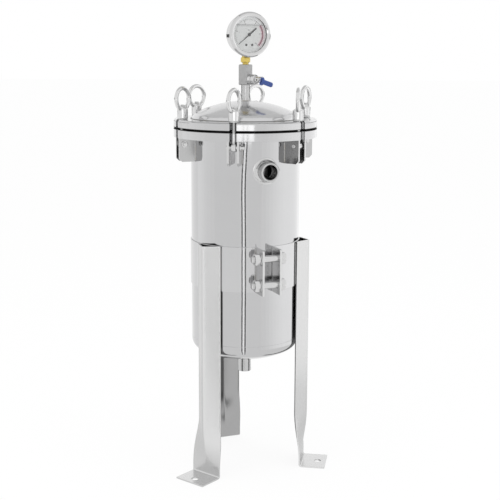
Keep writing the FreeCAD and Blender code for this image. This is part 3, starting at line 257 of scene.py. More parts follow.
@dataclass(frozen=True)
class Steel:
    """Stainless steel: its tone, gloss, fine lines, cloudiness, faint marks of handling, and painted shade on
    chosen faces.

    Attributes:
        line_depth: depth of the fine lines, in metres.
        wave: depth of the slow waves in the sheet, in metres.
        plate: painted shade, a matt near-black for dark things mirrored, on faces that look neither out nor
            in.
        inner: the same painted shade on faces that look towards the axis.
        side: the same painted shade on faces that look along X, either way.
        gap: whether a band of painted shadow, near-black, lies at the height of the gap between the flanges.
    """

    name: str
    slot: str
    tone: tuple[float, float, float] = (0.56, 0.56, 0.565)
    roughness: float = 0.16
    grain: Grain = Grain.ROUND
    line_depth: float = 0.000004
    clouds: float = 0.05
    wave: float = 0.0
    plate: float = 0.0
    inner: float = 0.0
    side: float = 0.0
    gap: bool = False

    def material(self) -> bpy.types.Material:
        """Build the steel.

        Returns:
            The material.
        """
        maker = Maker(self.name)
        plain = maker.place()
        lines = maker.noise(maker.place(stretch=self.grain.value), 1.0, 2.0)
        broad = maker.noise(plain, 14.0, 3.0)
        marks = maker.noise(plain, 95.0, 5.0, 0.7)
        darker = tuple(channel * (1.0 - self.clouds) for channel in self.tone)
        lighter = tuple(min(1.0, channel * (1.0 + self.clouds)) for channel in self.tone)
        colour = maker.blend(broad * 0.6 + lines * 0.4, darker, lighter)
        painted_shade = None
        # Painted shade: near-black by the way each face looks, for the dark things these faces would mirror.
        if self.plate or self.inner or self.side:
            facing, across = self.outward(maker)
            flat = facing.absolute().rise(0.35, 0.85)
            patches = 0.8 + broad * 0.4
            painted_shade = ((1.0 - flat) * (1.0 - across * 0.9).rise(0.0, 1.6) * patches * self.plate
                     + facing.below(-0.1) * self.inner + (0.0 - across).rise(0.25, 0.8) * self.side
                     + across.rise(0.4, 0.8) * self.side)
        # Painted shadow: a near-black band at the height of the gap between the flanges.
        if self.gap:
            up = maker.node("ShaderNodeSeparateXYZ", {}, {"Vector": plain}, 2)
            painted_shade = up.between(*PAINTED_GAP_SHADOW) * 0.93
        rough = self.roughness * (0.78 + broad * 0.22 + lines * 0.16 + marks.rise(0.62, 0.8) * 0.25)
        normal = maker.bump(lines, self.line_depth)
        if self.wave:
            slow = maker.noise(plain, 9.0, 1.0)
            normal = maker.node("ShaderNodeBump", {}, {"Height": slow, "Distance": self.wave,
                                                       "Strength": 1.0, "Normal": normal})
        return maker.finish(painted_shade, Base_Color=colour, Metallic=1.0, Roughness=rough, Normal=normal)

    def outward(self, maker: Maker) -> tuple[Value, Value]:
        """How far a face looks away from the axis, and how far along X.

        Returns:
            1 outwards, -1 inwards and above 1 on level faces, and then the normal's X part.
        """
        flat = maker.place(stretch=(1.0, 1.0, 0.0))
        away = maker.node("ShaderNodeVectorMath", {"operation": "NORMALIZE"}, {0: flat})
        normal = maker.node("ShaderNodeNewGeometry", {}, {}, "Normal")
        dot = {"operation": "DOT_PRODUCT"}
        level = maker.node("ShaderNodeVectorMath", dot, {0: away, 1: normal}, "Value")
        up = maker.node("ShaderNodeSeparateXYZ", {}, {"Vector": normal}, 2)
        across = maker.node("ShaderNodeSeparateXYZ", {}, {"Vector": normal}, 0)
        return level + up.absolute() * 1.2, across


@dataclass(frozen=True)
class Blasted:
    """Steel blasted with glass beads: even, soft and finely pitted."""

    name: str
    slot: str

    def material(self) -> bpy.types.Material:
        """Build the blasted steel, with slightly brighter rubbed high spots."""
        maker = Maker(self.name)
        plain = maker.place()
        pits = maker.noise(plain, 2600.0, 2.0, 0.6)
        clouds = maker.noise(plain, 120.0, 3.0)
        colour = maker.blend(clouds * 0.7 + pits * 0.3, (0.40, 0.40, 0.40), (0.52, 0.52, 0.52))
        rough = 0.46 + pits * 0.12 + clouds * 0.06
        return maker.finish(Base_Color=colour, Metallic=1.0, Roughness=rough,
                            Normal=maker.bump(pits, 0.00002, 0.7))


@dataclass(frozen=True)
class Bead:
    """A weld bead: ripples come from its mesh, heat tint and grey oxide from here."""

    name: str
    slot: str
    tone: tuple[float, float, float] = (0.5, 0.5, 0.5)

    def material(self) -> bpy.types.Material:
        """Build the bead's steel, a little straw coloured in patches."""
        maker = Maker(self.name)
        plain = maker.place()
        patches = maker.noise(plain, 160.0, 3.0)
        fine = maker.noise(plain, 1500.0, 3.0)
        straw = (self.tone[0] * 0.98, self.tone[1] * 0.92, self.tone[2] * 0.82)
        colour = maker.blend(patches.rise(0.45, 0.75), self.tone, straw)
        rough = 0.26 + patches * 0.12 + fine * 0.08
        return maker.finish(Base_Color=colour, Metallic=1.0, Roughness=rough,
                            Normal=maker.bump(fine, 0.00002, 0.6))


@dataclass(frozen=True)
class Brass:
    """Machined brass, pale yellow, with tool marks across its axis."""

    name: str
    slot: str

    def material(self) -> bpy.types.Material:
        """Build the brass."""
        maker = Maker(self.name)
        lines = maker.noise(maker.place(stretch=Grain.ROUND.value), 1.6, 2.0)
        clouds = maker.noise(maker.place(), 170.0, 4.0)
        colour = maker.blend(clouds, (0.60, 0.44, 0.10), (0.74, 0.60, 0.20))
        rough = 0.2 + lines * 0.12 + clouds * 0.1
        return maker.finish(Base_Color=colour, Metallic=1.0, Roughness=rough,
                            Normal=maker.bump(lines, 0.00001))


@dataclass(frozen=True)
class Soft:
    """A rubber or plastic: its tone, gloss, fine skin and dusty or rubbed patches."""

    name: str
    slot: str
    tone: tuple[float, float, float]
    rubbed: tuple[float, float, float]
    roughness: float = 0.5
    skin: float = 1400.0
    depth: float = 0.00003
    coat: float = 0.0

    def material(self) -> bpy.types.Material:
        """Build the rubber or plastic."""
        maker = Maker(self.name)
        plain = maker.place()
        fine = maker.noise(plain, self.skin, 3.0)
        patches = maker.noise(plain, 70.0, 4.0, 0.6)
        colour = maker.blend(patches.rise(0.4, 0.75) * 0.6 + fine * 0.15, self.tone, self.rubbed)
        rough = self.roughness * (0.8 + patches * 0.3 + fine * 0.15)
        return maker.finish(Base_Color=colour, Roughness=rough, Coat_Weight=self.coat, Coat_Roughness=0.12,
                            Normal=maker.bump(fine, self.depth, 0.6))


@dataclass(frozen=True)
class Felt:
    """Needled felt, with crossing fibres and rows of fine needle holes."""

    name: str
    slot: str

    def material(self) -> bpy.types.Material:
        """Build the felt."""
        maker = Maker(self.name)
        across = maker.noise(maker.place(stretch=(90.0, 90.0, 900.0)), 1.0, 3.0)
        along = maker.noise(maker.place(stretch=(900.0, 900.0, 90.0)), 1.0, 3.0)
        holes = maker.node("ShaderNodeTexVoronoi", {}, {"Vector": maker.place(), "Scale": 420.0})
        fuzz = across * 0.5 + along * 0.5
        colour = maker.blend(fuzz, (0.62, 0.61, 0.56), (0.86, 0.85, 0.81))
        height = fuzz + holes.rise(0.0, 0.25) * 0.4
        return maker.finish(Base_Color=colour, Roughness=0.92, Sheen_Weight=0.3,
                            Normal=maker.bump(height, 0.0004))


@dataclass(frozen=True)
class Pane:
    """Clear window glass: it lets light straight through and reflects more at a slant."""

    name: str
    slot: str

    def material(self) -> bpy.types.Material:
        """Build the glass, with the faintest smears in its gloss."""
        maker = Maker(self.name)
        smears = maker.noise(maker.place(), 60.0, 4.0, 0.7)
        clear = maker.node("ShaderNodeBsdfTransparent", {}, {"Color": (0.985, 0.985, 0.985)})
        sockets = {"Base Color": (0.95, 0.97, 0.97), "Metallic": 1.0, "Roughness": 0.03 + smears * 0.05}
        gloss = maker.node("ShaderNodeBsdfPrincipled", {}, sockets)
        slant = maker.node("ShaderNodeFresnel", {}, {"IOR": 1.45})
        mixed = maker.node("ShaderNodeMixShader", {}, {0: slant * 0.85 + 0.02, 1: clear, 2: gloss})
        maker.tree.links.new(mixed.socket, maker.output.inputs["Surface"])
        return maker.material


@dataclass(frozen=True)
class DialPrint:
    """White dial enamel: its scale, a red arc at the end of the range, and the part below the liquid.

    Attributes:
        turn: the way the dial faces, in degrees from the front.
        height: height of its hub, in millimetres.
        level: height of the liquid above the hub, in millimetres.
        red_from: first angle of the red arc, in degrees.
        red_to: last angle of the red arc, in degrees.
        start: angle of the scale's zero, in degrees.
        sweep: angle of the whole scale, in degrees.
        fine_step: degrees from one fine mark to the next.
        coarse_step: degrees from one long mark to the next.
        scale_radius: outer end of the marks, in millimetres.
        painted_glow: painted light, a glow from the print that stands in for the brightness it has under its
            window.
    """

    name: str
    slot: str
    turn: float
    height: float
    level: float = 18.2
    red_from: float = -46.0
    red_to: float = 37.0
    start: float = 220.0
    sweep: float = 270.5
    fine_step: float = 5.4
    coarse_step: float = 54.0
    scale_radius: float = 30.0
    painted_glow: float = 0.22

    def material(self) -> bpy.types.Material:
        """Build the print from the distance to the hub and the angle about it.

        Returns:
            The material.
        """
        maker = Maker(self.name)
        flat = maker.place(self.turn - 90.0, self.height * MM, (1000.0, 1000.0, 1000.0))
        side = maker.node("ShaderNodeSeparateXYZ", {}, {"Vector": flat}, 1)
        up = maker.node("ShaderNodeSeparateXYZ", {}, {"Vector": flat}, 2)
        reach = (side * side + up * up) ** 0.5
        angle = maker.node("ShaderNodeMath", {"operation": "ARCTAN2"}, {0: up, 1: side}) * (180.0 / math.pi)
        climb = self.start - angle
        wrapped = climb - climb.above(360.0) * 360.0
        swept = wrapped.below(self.sweep)
        end = self.scale_radius
        fine = (wrapped * (1.0 / self.fine_step)).wave(0.5).below(0.09) * reach.between(27.6, end)
        coarse = (wrapped * (1.0 / self.coarse_step)).wave(0.5).below(0.024) * reach.between(24.6, end)
        ring = reach.between(end, 30.3)
        ticks = ((fine + coarse + ring) * swept).rise(0.0, 0.5)
        zone = angle.between(self.red_from, self.red_to)
        red = zone * reach.between(27.4, 30.6)
        pink = zone * reach.between(25.2, 33.6)
        mottle = maker.noise(maker.place(), 90.0, 3.0)
        wet = up.below(self.level)
        ground = maker.blend(wet, (0.84, 0.84, 0.84), (0.70, 0.705, 0.70))
        worn = maker.blend(mottle * 0.25, ground, (0.50, 0.51, 0.50))
        tinted = maker.blend(pink * 0.55, worn, (0.72, 0.50, 0.54))
        inked = maker.blend(ticks * 0.9, tinted, (0.10, 0.10, 0.10))
        colour = maker.blend(red * 0.94, inked, (0.20, 0.035, 0.07))
        rough = 0.34 + mottle * 0.12 + ticks * 0.1
        # Painted light: the print glows in its own colour, to look as brightly lit under the window as it
        # should.
        return maker.finish(Base_Color=colour, Roughness=rough, Coat_Weight=0.2, Emission_Color=colour,
                            Emission_Strength=self.painted_glow, Normal=maker.bump(ticks + red, 0.00003, 0.5))


@dataclass
class Palette:
    """Every finish, built once and handed out by name."""

    vessel: Steel = Steel("polished_vessel_steel", "vessel_steel", (0.535, 0.535, 0.54), 0.065, wave=0.0004)
    dome: Steel = Steel("satin_dome_steel", "vessel_steel", (0.62, 0.62, 0.625), 0.19, wave=0.0004)
    # The flange steel carries the painted shadow band at the gap between the flanges.
    flange: Steel = Steel("turned_flange_steel", "flange_steel", (0.55, 0.55, 0.555), 0.12,
                          line_depth=0.000006, gap=True)
    # Cheeks: painted shade on their sideways faces.
    cheek: Steel = Steel("cut_plate_steel", "flange_steel", (0.62, 0.62, 0.62), 0.2, Grain.UPRIGHT, plate=0.5)
    # Legs: painted shade on faces towards the axis and on faces along X.
    leg: Steel = Steel("satin_leg_steel", "leg_steel", (0.71, 0.71, 0.71), 0.24, Grain.UPRIGHT, 0.00001,
                       wave=0.0004, inner=0.45, side=0.22)
    band: Steel = Steel("band_steel", "leg_steel", (0.57, 0.57, 0.575), 0.08, Grain.ROUND, wave=0.0004)
    # Ears: a little painted shade on their sideways faces.
    ear: Steel = Steel("ear_steel", "leg_steel", (0.66, 0.66, 0.66), 0.18, Grain.UPRIGHT, plate=0.1)
    bolt: Steel = Steel("bright_bolt_steel", "bolt_steel", (0.64, 0.64, 0.64), 0.18, Grain.ROUND, 0.000008)
    stem: Steel = Steel("dark_stem_steel", "bolt_steel", (0.2, 0.195, 0.14), 0.3, Grain.ROUND, 0.000008)
    ring: Steel = Steel("forged_ring_steel", "cast_steel", (0.68, 0.68, 0.68), 0.15, Grain.NONE,
                        0.00001, 0.08)
    pipe: Steel = Steel("pipe_steel", "vessel_steel", (0.54, 0.54, 0.54), 0.2, Grain.ROUND, 0.00001)
    gauge: Steel = Steel("bezel_steel", "gauge_steel", (0.62, 0.62, 0.62), 0.1, Grain.NONE, 0.000003)
    sheet: Steel = Steel("mill_sheet_steel", "perforated_steel", (0.5, 0.5, 0.5), 0.34, Grain.NONE, 0.00001)
    fillet: Steel = Steel("ground_fillet_steel", "vessel_steel", (0.6, 0.6, 0.6), 0.2, Grain.NONE,
                          0.00001, 0.06)
    blasted: Blasted = Blasted("blasted_tee_steel", "blasted_steel")
    bead: Bead = Bead("weld_bead_steel", "vessel_steel")
    # A weld bead in a near-black grey: painted shade along the seams under the body flange and round the
    # dome.
    painted_shade: Bead = Bead("painted_shade_weld_steel", "vessel_steel", (0.24, 0.24, 0.24))
    brass: Brass = Brass("machined_brass", "brass")
    gasket: Soft = Soft("black_gasket_rubber", "gasket_rubber", (0.012, 0.012, 0.012),
                        (0.03, 0.03, 0.03), 0.6)
    plug: Soft = Soft("plug_rubber_skin", "plug_rubber", (0.014, 0.014, 0.014), (0.04, 0.04, 0.04), 0.55)
    vinyl: Soft = Soft("dipped_blue_vinyl", "sleeve_vinyl", (0.026, 0.072, 0.30), (0.045, 0.07, 0.26), 0.42,
                       900.0, 0.00004, 0.12)
    seat: Soft = Soft("valve_seat_plastic", "seat_plastic", (0.8, 0.8, 0.78), (0.7, 0.7, 0.68), 0.45)
    ink: Soft = Soft("dial_ink", "pointer_enamel", (0.06, 0.06, 0.06), (0.12, 0.12, 0.12), 0.5)
    pointer: Soft = Soft("pointer_black_enamel", "pointer_enamel", (0.012, 0.012, 0.012),
                         (0.03, 0.03, 0.03), 0.4)
    liquid: Soft = Soft("gauge_liquid_edge", "window_glass", (0.22, 0.22, 0.22), (0.3, 0.3, 0.3), 0.3)
    glass: Pane = Pane("window_pane_glass", "window_glass")
    felt: Felt = Felt("needled_filter_felt", "filter_felt")
    dial: DialPrint = DialPrint("printed_dial_enamel", "dial_enamel", 23.0, 885.12)
    made: dict[str, bpy.types.Material] = field(default_factory=dict)

    def get(self, name: str) -> tuple[bpy.types.Material, str]:
        """The material of a finish and its slot in the record."""
        finish = getattr(self, name)
        if name not in self.made:
            self.made[name] = finish.material()
        return self.made[name], finish.slot


@dataclass(frozen=True)
class Seat:
    """Where a piece sits, and how it is turned about the upright."""

    turn: float = 90.0
    outwards: float = 0.0
    height: float = 0.0
    sideways: float = 0.0
    spin: float = 0.0

    def world(self, points: Array) -> Array:
        """Local points in millimetres to metres in the row frame: spun, moved, then turned to the azimuth."""
        spin = math.radians(self.spin)
        turn = math.radians(self.turn - 90.0)
        across = points[:, 0] * math.cos(spin) - points[:, 1] * math.sin(spin) + self.outwards
        beside = points[:, 0] * math.sin(spin) + points[:, 1] * math.cos(spin) + self.sideways
        x = across * math.cos(turn) - beside * math.sin(turn)
        y = across * math.sin(turn) + beside * math.cos(turn)
        return np.stack([x, y, points[:, 2] + self.height], axis=1) * MM


@dataclass
class Skin:
    """The points and faces of one piece, gathered surface by surface, each turned to face outwards."""

    seat: Seat = Seat()
    points: list[Array] = field(default_factory=list)
    faces: list[list[int]] = field(default_factory=list)
    count: int = 0

    def add(self, points: Array, faces: list[list[int]]) -> None:
        """Add one closed surface, turned round if the volume within it comes out negative."""
        volume = 0.0
        for size in {len(face) for face in faces}:
            corners = points[np.array([face for face in faces if len(face) == size])]
            for step in range(1, size - 1):
                cross = np.cross(corners[:, step], corners[:, step + 1])
                volume += float(np.einsum("ij,ij->", corners[:, 0], cross))
        if volume < 0.0:
            faces = [face[::-1] for face in faces]
        self.faces += [[index + self.count for index in face] for face in faces]
        self.points.append(self.seat.world(points))
        self.count += len(points)

    def grid(self, grid: Array, rows_closed: bool = False, capped: bool = True,
             cols_closed: bool = True) -> None:
        """Add a grid of points as quads.

        Args:
            grid: rows by columns by 3 local places.
            rows_closed: the last row joins the first.
            capped: the first and last rows, which are loops, get a face each.
            cols_closed: each row is a loop.
        """
        rows, cols = grid.shape[:2]
        number = np.arange(rows * cols).reshape(rows, cols)
        here = number if rows_closed else number[:-1]
        below = np.roll(number, -1, axis=0)[: len(here)]
        quads = np.stack([here, np.roll(here, -1, 1), np.roll(below, -1, 1), below], axis=-1)
        if not cols_closed:
            quads = quads[:, :-1]
        faces = quads.reshape(-1, 4).tolist()
        if capped and not rows_closed:
            faces += [number[0][::-1].tolist(), number[-1].tolist()]
        self.add(grid.reshape(-1, 3), faces)

    def make(self, name: str, body: str, finish: str, palette: Palette, replaces: Sequence[str] = ()) -> None:
        """Make the piece.

        Args:
            name: its name.
            body: the CAD body it moves with.
            finish: the palette's finish.
            palette: the finishes.
            replaces: CAD nodes that it stands for.
        """
        mesh = bpy.data.meshes.new(name)
        mesh.from_pydata(np.concatenate(self.points).tolist(), [], self.faces)
        mesh.polygons.foreach_set("use_smooth", np.ones(len(mesh.polygons), dtype=bool))
        mesh.update()
        piece = bpy.data.objects.new(name, mesh)
        bpy.context.scene.collection.objects.link(piece)
        material, slot = palette.get(finish)
        mesh.materials.append(material)
        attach(piece, body)
        if replaces:
            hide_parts(*replaces)
        LOG.info("%s: %d faces", name, len(mesh.polygons))


def arc(centre: tuple[float, float], radius: float, start: float, end: float, count: int) -> Array:
    """Points on a circle's arc: centre plus radius times (cosine, sine) of evenly spaced degrees."""
    angle = np.radians(np.linspace(start, end, count))
    return np.stack([centre[0] + radius * np.cos(angle), centre[1] + radius * np.sin(angle)], axis=1)


def trace(items: Sequence[Union[Corner, Array]], closed: bool = True, steps: int = 4) -> Array:
    """An outline through corners, each rounded by a circle's arc that touches both its sides.

    Beyond each arc a point is held a little way along the side, so that the flat beside it shades flat.
    On a short side the arc and that point keep to their shares of it.

    Args:
        items: corners as (across, up, radius), and arrays of points that are smooth already.
        closed: the last corner joins the first.
        steps: points in a corner's arc.

    Returns:
        The outline's points, one row each.
    """
    places: list[tuple[float, float]] = []
    radii: list[float] = []
    for item in items:
        if isinstance(item, tuple):
            places.append(item[:2])
            radii.append(item[2])
        else:
            places += [tuple(point) for point in item]
            radii += [0.0] * len(item)
    corners = np.array(places)
    result: list[Array] = []
    for index, radius in enumerate(radii):
        corner = corners[index]
        at_end = not closed and index in (0, len(radii) - 1)
        if radius <= 0.0 or at_end:
            result.append(corner)
            continue
        back = corners[index - 1] - corner
        ahead = corners[(index + 1) % len(radii)] - corner
        back_length, ahead_length = np.linalg.norm(back), np.linalg.norm(ahead)
        back, ahead = back / back_length, ahead / ahead_length
        half = 0.5 * math.acos(float(np.clip(back @ ahead, -1.0, 1.0)))
        reach = min(radius / math.tan(half), ARC_SHARE * back_length, ARC_SHARE * ahead_length)
        actual = reach * math.tan(half)
        middle = corner + (back + ahead) / np.linalg.norm(back + ahead) * actual / math.sin(half)
        first, last = corner + back * reach - middle, corner + ahead * reach - middle
        sweep = math.pi - 2.0 * half
        share = np.linspace(0.0, 1.0, steps)[:, None]
        round_part = (np.sin((1.0 - share) * sweep) * first + np.sin(share * sweep) * last) / math.sin(sweep)
        result.append(corner + back * min(reach + HOLD, HOLD_SHARE * back_length))
        result += list(middle + round_part)
        result.append(corner + ahead * min(reach + HOLD, HOLD_SHARE * ahead_length))
    return np.array(result)


def aimed(across: Array, beside: Array, along: Array, toward: Toward) -> Array:
    """A grid of local points from its parts across, beside and along its axis."""
    order = {Toward.UP: (across, beside, along), Toward.OUT: (along, across, beside),
             Toward.SIDE: (beside, along, across)}[toward]
    return np.stack(order, axis=-1)


def turned(profile: Array, toward: Toward = Toward.UP, segments: int = 96) -> Array:
    """A profile of (radius, place along the axis) carried once round the axis, as a grid."""
    angle = np.linspace(0.0, 2.0 * np.pi, segments, endpoint=False)[None, :]
    across = profile[:, :1] * np.cos(angle)
    beside = profile[:, :1] * np.sin(angle)
    along = np.broadcast_to(profile[:, 1:2], across.shape)
    return aimed(across, beside, along, toward)


def prism(outline: Array, low: float, high: float, edge: float, toward: Toward = Toward.UP) -> Array:
    """An outline carried along its axis from low to high, drawn in along its normals at the rounded edges."""
    forward = np.roll(outline, -1, axis=0) - np.roll(outline, 1, axis=0)
    forward /= np.linalg.norm(forward, axis=1, keepdims=True) + 1e-12
    area = np.sum(outline[:, 0] * np.roll(outline[:, 1], -1) - outline[:, 1] * np.roll(outline[:, 0], -1))
    normal = np.stack([forward[:, 1], -forward[:, 0]], axis=1) * np.sign(area)
    side = trace([(edge * 2.5 + HOLD, low, 0.0), (0.0, low, edge), (0.0, high, edge),
                  (edge * 2.5 + HOLD, high, 0.0)], closed=False)
    flat = outline[None, :, :] - normal[None, :, :] * side[:, :1, None]
    along = np.broadcast_to(side[:, 1:2], flat.shape[:2])
    order = {Toward.UP: (flat[..., 0], flat[..., 1], along), Toward.OUT: (along, flat[..., 0], flat[..., 1]),
             Toward.SIDE: (flat[..., 0], along, flat[..., 1])}[toward]
    return np.stack(order, axis=-1)


def tube(path: Array, radius: Array, reference: Sequence[float], closed: bool, sides: int = 10) -> Array:
    """A round section of varying radius carried along a path, its points set off along turned normals."""
    ahead = np.roll(path, -1, axis=0) - np.roll(path, 1, axis=0)
    if not closed:
        ahead[0] = path[1] - path[0]
        ahead[-1] = path[-1] - path[-2]
    ahead /= np.linalg.norm(ahead, axis=1, keepdims=True)
    first = np.cross(ahead, np.broadcast_to(np.array(reference, dtype=float), ahead.shape))
    first /= np.linalg.norm(first, axis=1, keepdims=True)
    second = np.cross(ahead, first)
    angle = np.linspace(0.0, 2.0 * np.pi, sides, endpoint=False)[None, :, None]
    ring = first[:, None, :] * np.cos(angle) + second[:, None, :] * np.sin(angle)
    return path[:, None, :] + ring * radius[:, None, None]


def hexagon(flats: float, toward: Toward, low: float, high: float, bevel: float, hole: float = 0.0) -> Array:
    """A hexagon with cone-bevelled ends: the least of the flats' distance and each end's cone, by angle.

    Args:
        flats: size across flats.
        toward: the axis.
        low: first end along the axis.
        high: last end along the axis.
        bevel: how far the cone cuts the corners back along the axis.
        hole: radius of a bore, or 0 for none.

    Returns:
        The grid; its rows close on themselves where there is a bore.
    """
    angle = np.linspace(0.0, 2.0 * np.pi, 180, endpoint=False)
    fold = np.mod(angle + np.pi / 6.0, np.pi / 3.0) - np.pi / 6.0
    side = 0.5 * flats / np.cos(fold)
    side = np.minimum(side, 0.5 * flats / math.cos(math.pi / 6.0) - 0.25)
    face = 0.5 * flats - 0.25
    rows = []
    for end, inward in ((low, 1.0), (high, -1.0)):
        cone = np.clip((side - face) / (0.5 * flats * 0.16), 0.0, 1.0) * bevel
        ring = [(np.full_like(side, face - 1.2), np.full_like(side, end)),
                (np.full_like(side, face - 0.3), np.full_like(side, end)),
                (side - 0.05, end + inward * (cone + 0.1)), (side, end + inward * (cone + 0.45))]
        rows += ring if inward > 0 else ring[::-1]
    if hole:
        rows.append((np.full_like(side, hole), np.full_like(side, high)))
        rows.append((np.full_like(side, hole), np.full_like(side, low)))
    radius = np.array([row[0] for row in rows])
    along = np.array([row[1] for row in rows])
    across, beside = radius * np.cos(angle), radius * np.sin(angle)
    return aimed(across, beside, along, toward)


def threaded(rows: Array, pitch: float, depth: float, toward: Toward, sides: int = 36) -> Array:
    """A rod whose radius falls and rises by a thread's depth with the place along it, less the turn's share.

    Args:
        rows: (crest radius, place along the axis, thread weight from 0 to 1).
        pitch: of the thread.
        depth: from crest to root.
        toward: the axis.
        sides: points round the rod.

    Returns:
        The grid.
    """
    angle = np.linspace(0.0, 2.0 * np.pi, sides, endpoint=False)[None, :]
    phase = np.mod(rows[:, 1:2] / pitch - angle / (2.0 * np.pi), 1.0)
    groove = np.abs(2.0 * phase - 1.0)
    radius = rows[:, :1] - depth * groove * rows[:, 2:3]
    across, beside = radius * np.cos(angle), radius * np.sin(angle)
    along = np.broadcast_to(rows[:, 1:2], across.shape)
    return aimed(across, beside, along, toward)


def circle_path(radius: float, height: float, count: int = 400, start: float = 0.0,
                sweep: float = 360.0) -> Array:
    """A level circle or arc about the seat's upright axis."""
    whole = sweep >= 360.0
    angle = np.radians(np.linspace(start, start + sweep, count, endpoint=not whole))
    return np.stack([radius * np.cos(angle), radius * np.sin(angle), np.full_like(angle, height)], axis=1)


def line_path(start: Sequence[float], end: Sequence[float]) -> Array:
    """A straight path with a point every 0.7 mm or so."""
    first, last = np.array(start, dtype=float), np.array(end, dtype=float)
    count = max(6, int(np.linalg.norm(last - first) / 0.7))
    return first + (last - first) * np.linspace(0.0, 1.0, count)[:, None]


@dataclass
class Beads:
    """Weld beads: tubes whose radius swells once for each ripple, and thins out at open ends."""

    skin: Skin
    ripple: float = 2.1

    def run(self, path: Array, radius: float, reference: Sequence[float], closed: bool = False) -> None:
        """Add one bead along a path.

        Args:
            path: its points.
            radius: of the bead.
            reference: a direction off the path, to set the section by.
            closed: the path is a loop.
        """
        step = np.linalg.norm(np.diff(path, axis=0, prepend=path[:1]), axis=1)
        travelled = np.cumsum(step)
        ripples = np.mod(travelled / self.ripple, 1.0)
        swell = radius * (1.0 + 0.08 * ripples**2 - 0.04)
        if not closed:
            share = np.linspace(0.0, 1.0, len(path))
            swell = swell * np.clip(np.minimum(share, 1.0 - share) * len(path) / 4.0, 0.25, 1.0)
        self.skin.grid(tube(path, swell, reference, closed), rows_closed=closed)


@dataclass
class Vessel:
    """The pipe shell, its dished bottom head, the outlet stub and the side inlet."""

    palette: Palette
    radius: float = 109.55
    wall: float = 3.0
    crown: float = 219.0
    knuckle: float = 22.0
    seam: float = 275.2
    skirt: float = 5.8
    top: float = 694.0
    nozzle_turn: float = 21.5
    nozzle_height: float = 625.5
    nozzle_radius: float = 19.0
    nozzle_bore: float = 14.3
    nozzle_end: float = 134.05
    opening: float = 17.0
    thread_pitch: float = 2.31
    thread_depth: float = 0.45
    head_depth: float = 42.523
    outlet_length: float = 31.9
    outlet_radius: float = 13.45
    outlet_bore: float = 10.65

    def dish(self, tangent: float, skirt_end: float, hole: float, bulge: float) -> Array:
        """The wall of a dished head: crown arc, knuckle arc and skirt outside, and the same inside.

        Args:
            tangent: height where the knuckle meets the skirt.
            skirt_end: height of the skirt's edge.
            hole: radius of the hole in the middle.
            bulge: 1 upwards or -1 downwards.

        Returns:
            A closed profile of (radius, height).
        """
        inner_place = self.radius - self.knuckle
        rise = math.sqrt((self.crown - self.knuckle) ** 2 - inner_place**2)
        share = math.degrees(math.asin(inner_place / (self.crown - self.knuckle)))
        loops = []
        for offset in (0.0, self.wall):
            crown, knuckle = self.crown - offset, self.knuckle - offset
            start = 90.0 - math.degrees(math.asin(hole / crown))
            over = arc((0.0, -rise), crown, start, 90.0 - share, 60)
            shoulder = arc((inner_place, 0.0), knuckle, 90.0 - share, 0.0, 26)[1:]
            loops.append(np.concatenate([over, shoulder]))
        outside = loops[0] * (1.0, bulge) + (0.0, tangent)
        inside = loops[1][::-1] * (1.0, bulge) + (0.0, tangent)
        skirt = [(self.radius, skirt_end, 0.4), (self.radius - self.wall, skirt_end, 0.4)]
        return trace([outside, *skirt, inside])

    def shell(self) -> None:
        """The pipe: two walls with a round opening, whose edge joins them, where the inlet enters."""
        count = 480
        angle = np.linspace(0.0, 2.0 * np.pi, count, endpoint=False)
        fine = np.arange(self.nozzle_height - 20.0, self.nozzle_height + 20.1, 1.25)
        heights = np.concatenate([[self.seam, self.seam + 0.5], np.linspace(290.0, 596.0, 40), fine,
                                  np.linspace(654.0, self.top - 0.5, 8), [self.top]])
        rows = len(heights)
        walls = []
        for radius in (self.radius, self.radius - self.wall):
            across = np.broadcast_to(radius * np.cos(angle), (rows, count))
            beside = np.broadcast_to(radius * np.sin(angle), (rows, count))
            up = np.broadcast_to(heights[:, None], (rows, count))
            walls.append(np.stack([across, beside, up], axis=-1))
        number = np.arange(rows * count).reshape(rows, count)
        middle_angle = angle + np.pi / count
        sideways = (self.radius * np.sin(middle_angle))[None, :]
        upwards = ((heights[:-1] + heights[1:]) / 2.0 - self.nozzle_height)[:, None]
        hole = (sideways**2 + upwards**2 < self.opening**2) & (np.cos(middle_angle) > 0.0)[None, :]
        here, above = number[:-1], number[1:]
        outer = np.stack([here, np.roll(here, -1, 1), np.roll(above, -1, 1), above], axis=-1)
        inner = outer[..., ::-1] + rows * count
        faces = outer[~hole].tolist() + inner[~hole].tolist()
        for row, flip in ((0, False), (rows - 1, True)):
            ring = np.stack([number[row], np.roll(number[row], -1)], axis=-1)
            edge = np.concatenate([ring[:, ::-1], ring + rows * count], axis=1)
            faces += (edge[:, ::-1] if flip else edge).tolist()
        padded = np.pad(hole, ((1, 1), (0, 0)))
        for shift, axis, first, second in ((1, 0, 0, 1), (-1, 0, 2, 3), (1, 1, 3, 0), (-1, 1, 1, 2)):
            beyond = np.roll(padded, shift, axis)[1:-1] if axis == 0 else np.roll(hole, shift, axis)
            rim = outer[hole & ~beyond][:, [first, second]]
            faces += np.concatenate([rim, rim[:, ::-1] + rows * count], axis=1).tolist()
        skin = Skin(Seat(self.nozzle_turn))
        skin.add(np.concatenate([wall.reshape(-1, 3) for wall in walls]), faces)
        skin.make("shell_tube", "housing", "vessel", self.palette, ["vessel_shell"])

    def head_and_outlet(self) -> None:
        """The bottom head and the pipe stub under it."""
        skin = Skin()
        wall = self.dish(self.seam - self.skirt, self.seam, self.outlet_radius, -1.0)
        skin.grid(turned(wall, segments=240), rows_closed=True)
        skin.make("bottom_dish", "housing", "vessel", self.palette, ["bottom_head"])
        apex = self.seam - self.skirt - self.head_depth
        low = apex - self.outlet_length
        outside, bore = self.outlet_radius, self.outlet_bore
        stub = trace([(outside, apex + 3.0, 0.3), (outside, low, 0.5), (bore, low, 0.5),
                      (bore, apex + 3.0, 0.3)])
        pipe = Skin()
        pipe.grid(turned(stub, segments=96), rows_closed=True)
        pipe.make("outlet_stub", "housing", "pipe", self.palette, ["bottom_outlet"])

